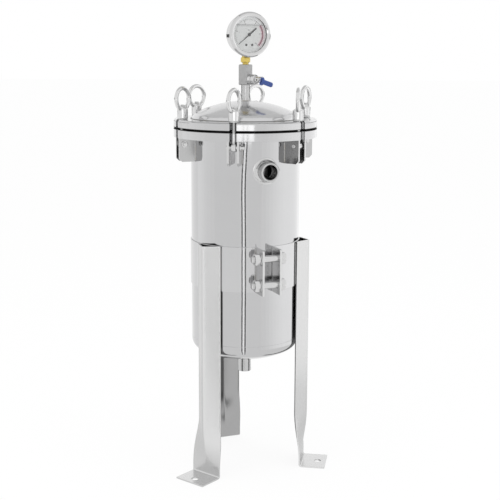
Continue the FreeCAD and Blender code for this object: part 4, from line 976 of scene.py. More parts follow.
    def inlet(self) -> None:
        """The half coupling: a plain outside, bevelled mouth, and a bore with its pipe thread."""
        root = math.sqrt((self.radius - self.wall) ** 2 - self.nozzle_radius**2)
        end = self.nozzle_end
        wide, bore_radius = self.nozzle_radius, self.nozzle_bore
        outside = trace([(bore_radius, root, 0.0), (wide, root, 0.3), (wide, end - 1.2, 0.6),
                         (wide - 1.2, end, 0.5), (bore_radius + 1.6, end, 0.4),
                         (bore_radius + 0.5, end - 1.3, 0.0)], closed=False)
        along = np.arange(end - 1.4, root + 0.6, -0.42)
        weight = np.clip((along - root - 1.0) / 2.0, 0.0, 1.0)
        segments = 96
        shell = turned(outside, Toward.OUT, segments)
        rows = np.stack([np.full_like(along, self.nozzle_bore), along, -weight], axis=1)
        bore = threaded(rows, self.thread_pitch, self.thread_depth, Toward.OUT, segments)
        skin = Skin(Seat(self.nozzle_turn, height=self.nozzle_height))
        skin.grid(np.concatenate([shell, bore]), rows_closed=True)
        skin.make("inlet_coupling", "housing", "pipe", self.palette, ["inlet_nozzle"])

    def welds(self) -> None:
        """The beads round the inlet, the outlet and under the body flange."""
        angle = np.linspace(0.0, 2.0 * np.pi, 220, endpoint=False)
        ripple = 1.0 + 0.05 * np.mod(angle * 28.0 / (2.0 * np.pi), 1.0)
        rows = []
        for share in np.linspace(0.0, 1.0, 12):
            reach = (self.nozzle_radius - 0.1 + 7.0 * share) * (1.0 + (ripple - 1.0) * share * 0.3)
            lift = (0.15 + 5.0 * (1.0 - share) ** 2.2) * ripple
            rows.append((reach, lift))
        rows += [(rows[-1][0], -1.0 + 0.0 * angle), (rows[0][0], -1.0 + 0.0 * angle)]
        grid = [np.stack([np.sqrt(self.radius**2 - (reach * np.cos(angle)) ** 2) + lift,
                          reach * np.cos(angle), reach * np.sin(angle)], axis=-1) for reach, lift in rows]
        collar = Skin(Seat(self.nozzle_turn, height=self.nozzle_height))
        collar.grid(np.array(grid), rows_closed=True)
        collar.make("inlet_weld", "housing", "fillet", self.palette)
        rings = Skin()
        Beads(rings).run(circle_path(13.9, self.seam - self.skirt - 42.2, 140), 1.7, (0.0, 0.0, 1.0), True)
        rings.make("outlet_weld", "housing", "bead", self.palette)
        # The bead under the flange is in painted shade.
        under = Skin()
        Beads(under).run(circle_path(self.radius + 0.5, 684.4, 1000), 1.7, (0.0, 0.0, 1.0), True)
        under.make("flange_weld", "housing", "painted_shade", self.palette)

    def build(self) -> None:
        """Build every piece of the vessel."""
        self.shell()
        self.head_and_outlet()
        self.inlet()
        self.welds()


@dataclass
class Closure:
    """Both flanges with their open slots, the gasket, and the cover's dome."""

    palette: Palette
    vessel: Vessel
    radius: float = 143.85
    bolt_circle: float = 131.6
    slot: float = 6.5
    first_turn: float = -9.4
    body_low: float = 685.0
    body_high: float = 702.0
    lid_low: float = 705.0
    lid_high: float = 721.0
    bevel: float = 3.0
    gasket: tuple[float, float] = (112.0, 124.5)
    dome_tangent: float = 713.5
    nipple_radius: float = 8.6

    def outline(self) -> Array:
        """The flange's outer edge: a circle with six round-ended slots cut in from it.

        Returns:
            Points of one closed loop, counter-clockwise.
        """
        half = math.degrees(math.asin(self.slot / self.radius))
        mouth = self.radius * math.cos(math.radians(half))
        rim = arc((0.0, 0.0), self.radius, half + 0.6, 60.0 - half - 0.6, 90)
        next_in = np.array([[math.cos(math.radians(60.0)), math.sin(math.radians(60.0))],
                            [-math.sin(math.radians(60.0)), math.cos(math.radians(60.0))]])
        inward = arc((self.bolt_circle, 0.0), self.slot, -90.0, -270.0, 26)
        next_mouth = np.array([mouth, -self.slot]) @ next_in
        sector = trace([inward[13:], (mouth, self.slot, 0.7), rim, (*next_mouth, 0.7),
                        inward[:13] @ next_in], closed=False)
        turns = np.radians(60.0 * np.arange(6))
        cosine, sine = np.cos(turns)[:, None], np.sin(turns)[:, None]
        x = sector[:, 0] * cosine - sector[:, 1] * sine
        y = sector[:, 0] * sine + sector[:, 1] * cosine
        loop = np.stack([x.ravel(), y.ravel()], axis=1)
        keep = np.linalg.norm(loop - np.roll(loop, 1, axis=0), axis=1) > 0.02
        return loop[keep]

    def ring(self, low: float, high: float, bevel: float) -> Array:
        """A flange: its edge drawn in along its normals at top and bottom, and bevelled outside.

        Args:
            low: height of the underside.
            high: height of the top.
            bevel: width of the outer bevel on top.

        Returns:
            A grid whose rows close on themselves.
        """
        edge = self.outline()
        forward = np.roll(edge, -1, axis=0) - np.roll(edge, 1, axis=0)
        forward /= np.linalg.norm(forward, axis=1, keepdims=True)
        normal = np.stack([forward[:, 1], -forward[:, 0]], axis=1)

        def loop(inset: float, limit: float, height: float, under_top: float) -> Array:
            """One row: the edge drawn in by an inset, held within a radius, at a height or under the top."""
            flat = edge - normal * inset
            reach = np.linalg.norm(flat, axis=1)
            flat = flat * np.minimum(1.0, limit / reach)[:, None]
            reach = np.minimum(reach, limit)
            cut = np.clip(reach - (self.radius - bevel), 0.0, bevel)
            up = np.full(len(flat), height) if height else high - cut - under_top
            return np.column_stack([flat, up])

        far = self.radius + 1.0
        crease = self.radius - bevel
        rows = [loop(1.6, far, low, 0.0), loop(0.5, far, low, 0.0), loop(0.12, far, low + 0.12, 0.0),
                loop(0.0, far, low + 0.5, 0.0), loop(0.0, far, low + 1.2, 0.0), loop(0.0, far, 0.0, 1.2),
                loop(0.0, far, 0.0, 0.5), loop(0.12, far, 0.0, 0.12), loop(0.5, far, 0.0, 0.0)]
        if bevel:
            rows += [loop(0.6, crease + 0.5, 0.0, 0.0), loop(0.7, crease, 0.0, 0.0)]
        rows.append(loop(1.6, crease - 0.9, 0.0, 0.0))
        angle = np.maximum.accumulate(np.unwrap(np.arctan2(edge[:, 1], edge[:, 0])))
        bore = self.vessel.radius
        inner = [np.column_stack([radius * np.cos(angle), radius * np.sin(angle), np.full(len(edge), up)])
                 for radius, up in ((111.0, high), (109.9, high), (bore, high - 0.4),
                                    (bore, low + 0.4), (109.9, low), (111.0, low))]
        return np.array(rows + inner)

    def build(self) -> None:
        """Build both flanges, the gasket and the dome with its beads."""
        seat = Seat(self.first_turn)
        plate = Skin(seat)
        plate.grid(self.ring(self.body_low, self.body_high, 0.0), rows_closed=True)
        plate.make("vessel_flange_plate", "housing", "flange", self.palette, ["body_flange"])
        cover = Skin(seat)
        cover.grid(self.ring(self.lid_low, self.lid_high, self.bevel), rows_closed=True)
        cover.make("cover_flange_plate", "housing", "flange", self.palette, ["lid_flange"])
        seal = Skin()
        inside, outside = self.gasket
        low, high = self.body_high, self.lid_low
        section = trace([(inside, low, 0.2), (outside, low, 1.2), (outside, high, 1.2), (inside, high, 0.2)])
        seal.grid(turned(section, segments=240), rows_closed=True)
        seal.make("gasket_ring", "housing", "gasket", self.palette, ["lid_gasket"])
        dome = Skin()
        wall = self.vessel.dish(self.dome_tangent, self.lid_low, self.nipple_radius, 1.0)
        dome.grid(turned(wall, segments=360), rows_closed=True)
        dome.make("cover_dome", "housing", "dome", self.palette, ["lid_dome"])
        # The bead round the dome's foot is in painted shade.
        junction = Skin()
        Beads(junction).run(circle_path(109.0, 720.6, 1000), 1.5, (0.0, 0.0, 1.0), True)
        junction.make("cover_weld", "housing", "painted_shade", self.palette)
        foot = Skin()
        Beads(foot).run(circle_path(9.0, 756.3, 90), 1.5, (0.0, 0.0, 1.0), True)
        foot.make("nipple_weld", "housing", "bead", self.palette)


@dataclass
class SwingBolts:
    """Six bolts with an eye, on pins between cheek plates, each with a washer and a ring nut."""

    palette: Palette
    closure: Closure
    pin_height: float = 673.3
    tip: float = 750.0
    shank: float = 5.0
    crest: float = 4.96
    thread_low: float = 699.7
    thread_depth: float = 0.8
    pitch: float = 1.5
    washer_low: float = 721.3
    nut_low: float = 723.35
    nut_height: float = 19.0
    ring_rise: float = 37.5
    ring_middle: float = 20.9
    ring_section: float = 4.1
    ring_turns: tuple[float, ...] = (69.4, 35.1, -45.8, 51.7, 175.0, 127.7)

    def bolt(self, seat: Seat, index: int) -> None:
        """One bolt: a bored eye about the pin, and a shank that is threaded in its upper part."""
        skin = Skin(seat)
        eye = trace([(4.05, -4.75, 0.5), (8.0, -4.75, 0.9), (8.0, 4.75, 0.9), (4.05, 4.75, 0.5)])
        grid = turned(eye, Toward.SIDE, 64)
        skin.grid(grid + np.array([0.0, 0.0, self.pin_height]), rows_closed=True)
        plain = np.array([[self.shank, self.pin_height + 6.3, 0.0], [self.shank, self.pin_height + 12.0, 0.0],
                          [self.shank, 699.0, 0.0], [self.crest, 699.5, 0.0]])
        along = np.arange(self.thread_low, self.tip - 1.0, self.pitch / 7.0)
        weight = np.clip((along - self.thread_low) / 2.0, 0.0, 1.0)
        thread = np.stack([np.full_like(along, self.crest), along, weight], axis=1)
        end = np.array([[4.4, self.tip - 0.7, 0.0], [3.9, self.tip - 0.1, 0.0], [3.2, self.tip, 0.0]])
        skin.grid(threaded(np.concatenate([plain, thread, end]), self.pitch, self.thread_depth, Toward.UP))
        skin.make(f"eye_bolt_{index}", f"bolt_{index}", "bolt", self.palette, [f"swing_bolt_{index}"])

    def washer(self, seat: Seat, index: int) -> None:
        """One washer, with softened edges."""
        low = self.washer_low
        flat = trace([(5.05, low, 0.2), (10.0, low, 0.45), (10.0, low + 2.0, 0.45), (5.05, low + 2.0, 0.2)])
        skin = Skin(seat)
        skin.grid(turned(flat, segments=80), rows_closed=True)
        skin.make(f"flat_washer_{index}", f"washer_{index}", "bolt", self.palette, [f"bolt_washer_{index}"])

    def ring_nut(self, seat: Seat, index: int) -> None:
        """One ring nut: a collar whose shoulder spreads into its ring, with the eye's hollow in its top."""
        top = self.nut_low + self.nut_height
        centre = self.nut_low + self.ring_rise
        eye = self.ring_middle - self.ring_section
        angle = np.linspace(0.0, 2.0 * np.pi, 96, endpoint=False)

        def row(thick: float, wide: float, up: float, hollow: float) -> Array:
            """One loop, raised at its sides by a share of the eye's hollow."""
            beside = wide * np.sin(angle)
            raised = up + hollow * (eye - np.sqrt(eye**2 - beside**2))
            return np.stack([thick * np.cos(angle), beside, raised], axis=-1)

        collar = trace([(5.6, self.nut_low, 0.3), (10.6, self.nut_low, 1.0), (10.6, top - 0.6, 1.4),
                        (9.5, top + 0.3, 0.0)], closed=False, steps=6)
        rows = [row(radius, radius, up, 0.0) for radius, up in collar]
        for share in np.linspace(0.12, 1.0, 12):
            thick = 9.5 * (1.0 - share) ** 2 + 2.0 * 8.6 * share * (1.0 - share) + 6.0 * share**2
            wide = 9.5 * (1.0 - share) ** 2 + 2.0 * 9.8 * share * (1.0 - share) + 10.4 * share**2
            rows.append(row(thick, wide, top + 0.3 + (centre - eye - top) * share, share * share))
        rows += [row(5.6, 5.9, centre - eye + 0.2, 1.0), row(5.06, 5.06, centre - eye - 0.4, 1.0),
                 row(5.06, 5.06, self.nut_low + 0.6, 0.0)]
        skin = Skin(seat)
        skin.grid(np.array(rows), rows_closed=True)
        sweep = np.radians(np.linspace(-90.0 + 26.0, 270.0 - 26.0, 120))
        path = np.stack([np.zeros_like(sweep), self.ring_middle * np.cos(sweep),
                         centre + self.ring_middle * np.sin(sweep)], axis=1)
        skin.grid(tube(path, np.full(len(path), self.ring_section), (1.0, 0.0, 0.0), False, 32))
        skin.make(f"ring_nut_{index}", f"nut_{index}", "ring", self.palette, [f"eye_nut_{index}"])

    def hinges(self) -> None:
        """The pins through the cheeks, and the beads that hold the cheeks."""
        pins, beads = Skin(), Skin()
        shape = trace([(0.3, -14.15, 0.0), (4.0, -14.15, 0.6), (4.0, 11.75, 0.1), (6.5, 11.75, 0.3),
                       (6.5, 14.15, 0.5), (4.0, 14.15, 0.1), (4.0, 21.15, 0.8), (0.3, 21.15, 0.0)],
                      closed=False)
        for index in range(6):
            turn = self.closure.first_turn + 60.0 * index
            pins.seat = Seat(turn, self.closure.bolt_circle, self.pin_height)
            pins.grid(turned(shape, Toward.SIDE, 48))
            beads.seat = Seat(turn)
            for side in (-1.0, 1.0):
                beside = side * 12.2
                root = math.sqrt(self.closure.vessel.radius**2 - beside**2) + 0.4
                run = Beads(beads)
                run.run(line_path((root, beside, 639.7), (root, beside, 682.5)), 1.1, (1.0, 0.0, 0.0))
                run.run(line_path((root + 3.0, beside, 684.6), (139.5, beside, 684.6)), 1.0, (0.0, 0.0, 1.0))
        pins.make("cheek_pins", "housing", "bolt", self.palette, ["hinge_pins"])
        beads.make("cheek_welds", "housing", "bead", self.palette)

    def build(self) -> None:
        """Build the six bolts and their hinges."""
        for index in range(1, 7):
            turn = self.closure.first_turn + 60.0 * (index - 1)
            seat = Seat(turn, self.closure.bolt_circle)
            self.bolt(seat, index)
            self.washer(seat, index)
            self.ring_nut(Seat(turn, self.closure.bolt_circle, spin=self.ring_turns[index - 1]), index)
        self.hinges()


@dataclass
class Stand:
    """The split band with its clamp, and three folded legs."""

    palette: Palette
    band_radius: float = 111.5
    band_low: float = 387.0
    band_high: float = 477.5
    clamp_turn: float = 21.0
    gap: float = 32.0
    ear: float = 4.0
    bolt_reach: float = 134.5
    bolt_pitch: float = 52.0
    leg_turn: float = -39.3
    half_strip: float = 35.0
    half_fold: float = 27.4
    strip: float = 3.0
    flatten_from: float = 118.0
    foot_place: float = 120.5
    bend: float = 3.0
    foot_reach: float = 174.5
    foot_hole: float = 7.0
    foot_hole_place: float = 157.0
    rod: float = 6.98
    flats: float = 22.0
    washer: float = 1.8

    def band(self) -> None:
        """The band: a flat section with softened edges, carried round from one ear to the other."""
        section = trace([(109.56, self.band_low, 0.2), (self.band_radius, self.band_low, 0.45),
                         (self.band_radius, self.band_high, 0.45), (109.56, self.band_high, 0.2)])
        half = math.degrees(math.asin(0.5 * self.gap / self.band_radius))
        angle = np.radians(np.linspace(half, 360.0 - half, 360))[:, None]
        grid = np.stack([section[:, 0] * np.cos(angle), section[:, 0] * np.sin(angle),
                         np.broadcast_to(section[:, 1], (360, len(section)))], axis=-1)
        skin = Skin(Seat(self.clamp_turn))
        skin.grid(grid)
        skin.make("leg_strap", "housing", "band", self.palette, ["leg_band"])

    def clamp(self) -> None:
        """The two clamp bolts with their nuts and washers."""
        middle = 0.5 * (self.band_low + self.band_high)
        outside = 0.5 * self.gap + self.ear
        rods, nuts, washers, beads = Skin(), Skin(), Skin(), Skin()
        ring = trace([(7.0, 0.0, 0.2), (13.0, 0.0, 0.4), (13.0, 1.8, 0.4), (7.0, 1.8, 0.2)])
        for step in (-0.5, 0.5):
            seat = Seat(self.clamp_turn, self.bolt_reach, middle + step * self.bolt_pitch)
            rods.seat = nuts.seat = washers.seat = seat
            rods.grid(hexagon(self.flats, Toward.SIDE, outside + self.washer, outside + 10.6, 1.7))
            end = -outside - self.washer - 11.0 - 5.0
            along = np.arange(-outside + 4.0, end + 1.2, -0.29)
            thread = np.stack([np.full_like(along, self.rod), along, np.ones_like(along)], axis=1)
            head = np.array([[self.rod, up, 0.0] for up in (outside + 1.9, outside - 1.0, -outside + 5.0)])
            tip = np.array([[6.2, end + 0.7, 0.0], [5.4, end, 0.0]])
            rods.grid(threaded(np.concatenate([head, thread, tip]), 2.0, 1.1, Toward.SIDE, 40))
            nuts.grid(hexagon(self.flats, Toward.SIDE, -outside - 12.8, -outside - self.washer, 1.6, 7.0),
                      rows_closed=True)
            for low in (outside, -outside - self.washer):
                washers.grid(turned(ring, Toward.SIDE, 72) + np.array([0.0, low, 0.0]), rows_closed=True)
        beads.seat = Seat(self.clamp_turn)
        for side in (-1.0, 1.0):
            beside = side * (outside + 0.5)
            root = math.sqrt(self.band_radius**2 - beside**2) + 0.4
            low, high = self.band_low + 1.0, self.band_high - 1.0
            Beads(beads).run(line_path((root, beside, low), (root, beside, high)), 1.4, (1.0, 0.0, 0.0))
        rods.make("clamp_bolt_pair", "housing", "bolt", self.palette, ["clamp_bolts"])
        nuts.make("clamp_nut_pair", "housing", "bolt", self.palette, ["clamp_nuts"])
        washers.make("clamp_washer_set", "housing", "bolt", self.palette, ["clamp_washers"])
        beads.make("ear_welds", "housing", "bead", self.palette)

    def leg_surface(self) -> Array:
        """The outer face of a leg: across the strip by its own width, and along it from the top to the foot.

        The fold's angle falls to nothing below a height, by a smooth step, and the strip keeps its width.
        The foot's bend is a quarter circle, and the foot runs out level.

        Returns:
            Rows along the strip by columns across it, as local places.
        """
        across = np.concatenate([np.linspace(-1.0, -0.10, 14), np.linspace(-0.08, 0.08, 9),
                                 np.linspace(0.10, 1.0, 14)])
        across *= self.half_strip
        outer_bend = self.bend + self.strip
        down = np.concatenate([[self.band_high, self.band_high - 0.8], np.linspace(460.0, 130.0, 30),
                               np.linspace(125.0, outer_bend + 1.0, 44), [outer_bend]])
        share = np.clip((self.flatten_from - down) / (self.flatten_from - 16.0), 0.0, 1.0)
        ease = share * share * (3.0 - 2.0 * share)
        slope = (1.0 - ease) * math.acos(self.half_fold / self.half_strip)
        soft = np.sqrt(across[None, :] ** 2 + 1.6**2) - 1.6
        beside = across[None, :] * np.cos(slope)[:, None]
        edge_upper = math.sqrt(self.band_radius**2 - self.half_fold**2)
        edge = edge_upper + (self.foot_place - edge_upper) * ease
        ridge = edge[:, None] + (self.half_strip - soft) * np.sin(slope)[:, None]
        up = np.broadcast_to(down[:, None], beside.shape)
        post = np.stack([ridge, np.broadcast_to(beside, ridge.shape), up], axis=-1)
        turn = np.radians(np.linspace(0.0, 90.0, 9))[1:]
        centre = self.foot_place + outer_bend
        knee_out = centre - outer_bend * np.cos(turn)
        knee_up = outer_bend - outer_bend * np.sin(turn)
        sole = np.linspace(centre + 1.0, self.foot_reach - 0.6, 24)
        out = np.concatenate([knee_out, sole, [self.foot_reach]])
        low = np.concatenate([knee_up, np.zeros(25)])
        flat = np.broadcast_to(across[None, :], (len(out), len(across)))
        foot = np.stack([np.broadcast_to(out[:, None], flat.shape), flat,
                         np.broadcast_to(low[:, None], flat.shape)], axis=-1)
        return np.concatenate([post, foot])

    def legs(self) -> None:
        """Three legs: the inner face, offset by the strip's thickness, and joined at the rim."""
        inner = self.leg_surface()
        along = np.gradient(inner, axis=0)
        beside = np.gradient(inner, axis=1)
        normal = np.cross(beside, along)
        normal /= np.linalg.norm(normal, axis=2, keepdims=True)
        if normal[0, 10, 0] < 0.0:
            normal = -normal
        outer = inner + normal * self.strip
        outer[0, :, 2] = outer[1, :, 2] + 0.8
        loop = np.concatenate([outer, inner[:, ::-1]], axis=1)
        for index in range(1, 4):
            skin = Skin(Seat(self.leg_turn + 120.0 * (index - 1)))
            skin.grid(loop)
            skin.make(f"folded_leg_{index}", "housing", "leg", self.palette, [f"leg_{index}"])
            self.cut_foot_hole(bpy.data.objects[f"folded_leg_{index}"], skin.seat)
            self.ease_edges(bpy.data.objects[f"folded_leg_{index}"])

    def cut_foot_hole(self, leg: bpy.types.Object, seat: Seat) -> None:
        """Cut the round bolt hole through a foot, with a turned cutter that is then removed."""
        cutter_skin = Skin(Seat(seat.turn, self.foot_hole_place))
        cutter_skin.grid(turned(np.array([[self.foot_hole, -3.0], [self.foot_hole, 8.0]]), segments=64))
        mesh = bpy.data.meshes.new("foot_cutter")
        mesh.from_pydata(np.concatenate(cutter_skin.points).tolist(), [], cutter_skin.faces)
        cutter = bpy.data.objects.new("foot_cutter", mesh)
        bpy.context.scene.collection.objects.link(cutter)
        modifier = leg.modifiers.new("foot_hole", "BOOLEAN")
        modifier.operation = "DIFFERENCE"
        modifier.object = cutter
        modifier.solver = "EXACT"
        apply_modifiers(leg)
        bpy.data.objects.remove(cutter)

    def ease_edges(self, leg: bpy.types.Object) -> None:
        """Bevel the leg's sharp cut edges, and keep its flats flat."""
        modifier = leg.modifiers.new("eased_edges", "BEVEL")
        modifier.width = 0.35 * MM
        modifier.segments = 2
        modifier.limit_method = "ANGLE"
        modifier.angle_limit = math.radians(40.0)
        modifier.harden_normals = False
        apply_modifiers(leg)
        leg.data.set_sharp_from_angle(angle=math.radians(32.0))

    def leg_welds(self) -> None:
        """The beads between each leg's edges and the band."""
        skin = Skin()
        for index in range(3):
            skin.seat = Seat(self.leg_turn + 120.0 * index)
            for side in (-1.0, 1.0):
                beside = side * (self.half_fold + 0.6)
                root = math.sqrt(self.band_radius**2 - beside**2) + 0.5
                low, high = self.band_low + 2.0, self.band_high - 2.0
                Beads(skin).run(line_path((root, beside, low), (root, beside, high)), 0.6, (1.0, 0.0, 0.0))
        skin.make("leg_welds", "housing", "bead", self.palette)

    def build(self) -> None:
        """Build the whole stand."""
        self.band()
        self.clamp()
        self.legs()
        self.leg_welds()


@dataclass
class Fittings:
    """The cover's nipple, the blasted tee, the brass connector and the vent valve."""

    palette: Palette
    turn: float = 54.3
    apex: float = 756.023
    nipple: float = 31.0
    nipple_bore: float = 6.3
    nipple_radius: float = 8.6
    tee_half: float = 10.5
    tee_height: float = 40.3
    stem_place: float = 36.0
    droop: float = 15.8
    port: float = 10.8

    @property
    def tee_low(self) -> float:
        """Height of the tee's underside."""
        return self.apex + self.nipple

    @property
    def port_height(self) -> float:
        """Height of the valve's axis."""
        return self.tee_low + self.port

    def upright(self) -> None:
        """Nipple, tee and connector, one above the other."""
        low = self.tee_low
        bore, outside = self.nipple_bore, self.nipple_radius
        section = trace([(bore, self.apex - 3.0, 0.2), (outside, self.apex - 3.0, 0.2),
                         (outside, low + 3.9, 0.3), (bore, low + 3.9, 0.2)])
        pipe = Skin()
        pipe.grid(turned(section, segments=72), rows_closed=True)
        pipe.make("cover_nipple", "housing", "pipe", self.palette, ["gauge_nipple"])
        half = self.tee_half
        square = trace([(half, -half, 2.9), (half, half, 2.9), (-half, half, 2.9), (-half, -half, 2.9)],
                       steps=9)
        block = Skin(Seat(self.turn))
        block.grid(prism(square, low, low + self.tee_height, 2.0))
        block.make("square_tee", "housing", "blasted", self.palette, ["tee_block"])
        base = low + self.tee_height
        hex_part = Skin(Seat(23.0))
        hex_part.grid(hexagon(18.0, Toward.UP, base + 4.0, base + 14.0, 1.3))
        neck = trace([(0.5, base + 13.5, 0.0), (7.0, base + 13.5, 0.1), (7.0, base + 21.2, 0.3),
                      (0.5, base + 21.2, 0.0)], closed=False)
        hex_part.grid(turned(neck, segments=64))
        foot = trace([(0.5, base - 1.4, 0.0), (6.5, base - 1.4, 0.3), (6.5, base + 0.9, 0.2),
                      (5.9, base + 1.3, 0.2), (5.9, base + 2.3, 0.2), (6.5, base + 2.7, 0.2),
                      (6.5, base + 4.4, 0.1), (0.5, base + 4.4, 0.0)], closed=False)
        hex_part.grid(turned(foot, segments=64))
        hex_part.make("hexagon_connector", "housing", "brass", self.palette, ["brass_connector"])

    def valve(self) -> None:
        """The valve's turned body with its collar, groove and stem boss."""
        height = self.port_height
        seat = Seat(self.turn, height=height)
        face = self.tee_half
        profile = trace([(2.6, face - 3.0, 0.0), (6.0, face - 3.0, 0.1), (6.0, face, 0.1), (10.4, face, 0.5),
                         (10.4, face + 7.0, 0.3), (9.0, face + 7.0, 0.2), (9.0, face + 8.2, 0.2),
                         (10.4, face + 8.2, 0.3), (10.4, face + 14.3, 0.9), (9.2, face + 15.5, 0.5),
                         (6.4, face + 15.5, 0.5), (6.4, face + 31.05, 0.5), (5.2, face + 32.25, 0.5),
                         (2.6, face + 32.25, 0.3)])
        body = Skin(seat)
        body.grid(turned(profile, Toward.OUT, 96), rows_closed=True)
        boss = trace([(1.86, -3.0, 0.0), (4.4, -3.0, 0.1), (4.4, -8.0, 0.5), (1.86, -8.0, 0.2)])
        body.grid(turned(boss, Toward.SIDE, 56) + np.array([self.stem_place, 0.0, 0.0]), rows_closed=True)
        body.make("vent_valve_body", "housing", "bolt", self.palette, ["valve_body"])
        at_stem = Seat(self.turn, self.stem_place, height)
        rod = Skin(at_stem)
        along = np.arange(-4.2, -12.6, -0.12)
        weights = np.clip((np.arange(70) - 37) / 8.0, 0, 1)
        rows = np.array([[1.8, place, weight] for place, weight in zip(along, weights)])
        rod.grid(threaded(rows, 0.7, 0.3, Toward.SIDE, 24))
        rod.make("threaded_stem", "vent_handle", "stem", self.palette, ["valve_stem"])
        nut = Skin(at_stem)
        nut.grid(hexagon(8.0, Toward.SIDE, -12.65, -9.52, 0.6, 1.82), rows_closed=True)
        nut.make("lever_nut", "vent_handle", "bolt", self.palette, ["stem_nut"])

    def lever(self) -> None:
        """The lever's dipped sleeve, drawn along the lever's line and rounded all over."""
        wide, slim, shoulder = 7.75, 4.7, 12.6
        start, neck, end = 6.6, shoulder + 2.6, 36.5
        grip = trace([(start, -wide, 2.2), (shoulder, -wide, 1.6), (neck, -slim, 1.6), (end, -slim, 3.6),
                      (end, slim, 3.6), (neck, slim, 1.6), (shoulder, wide, 1.6), (start, wide, 2.2)],
                     steps=7)
        angle = math.radians(-self.droop)
        turn = np.array([[math.cos(angle), math.sin(angle)], [-math.sin(angle), math.cos(angle)]])
        skin = Skin(Seat(self.turn, self.stem_place, self.port_height))
        skin.grid(prism(grip @ turn, -10.9, -6.9, 1.1, Toward.SIDE))
        skin.make("blue_lever_sleeve", "vent_handle", "vinyl", self.palette, ["lever_sleeve"])

    def build(self) -> None:
        """Build all fittings."""
        self.upright()
        self.valve()
        self.lever()


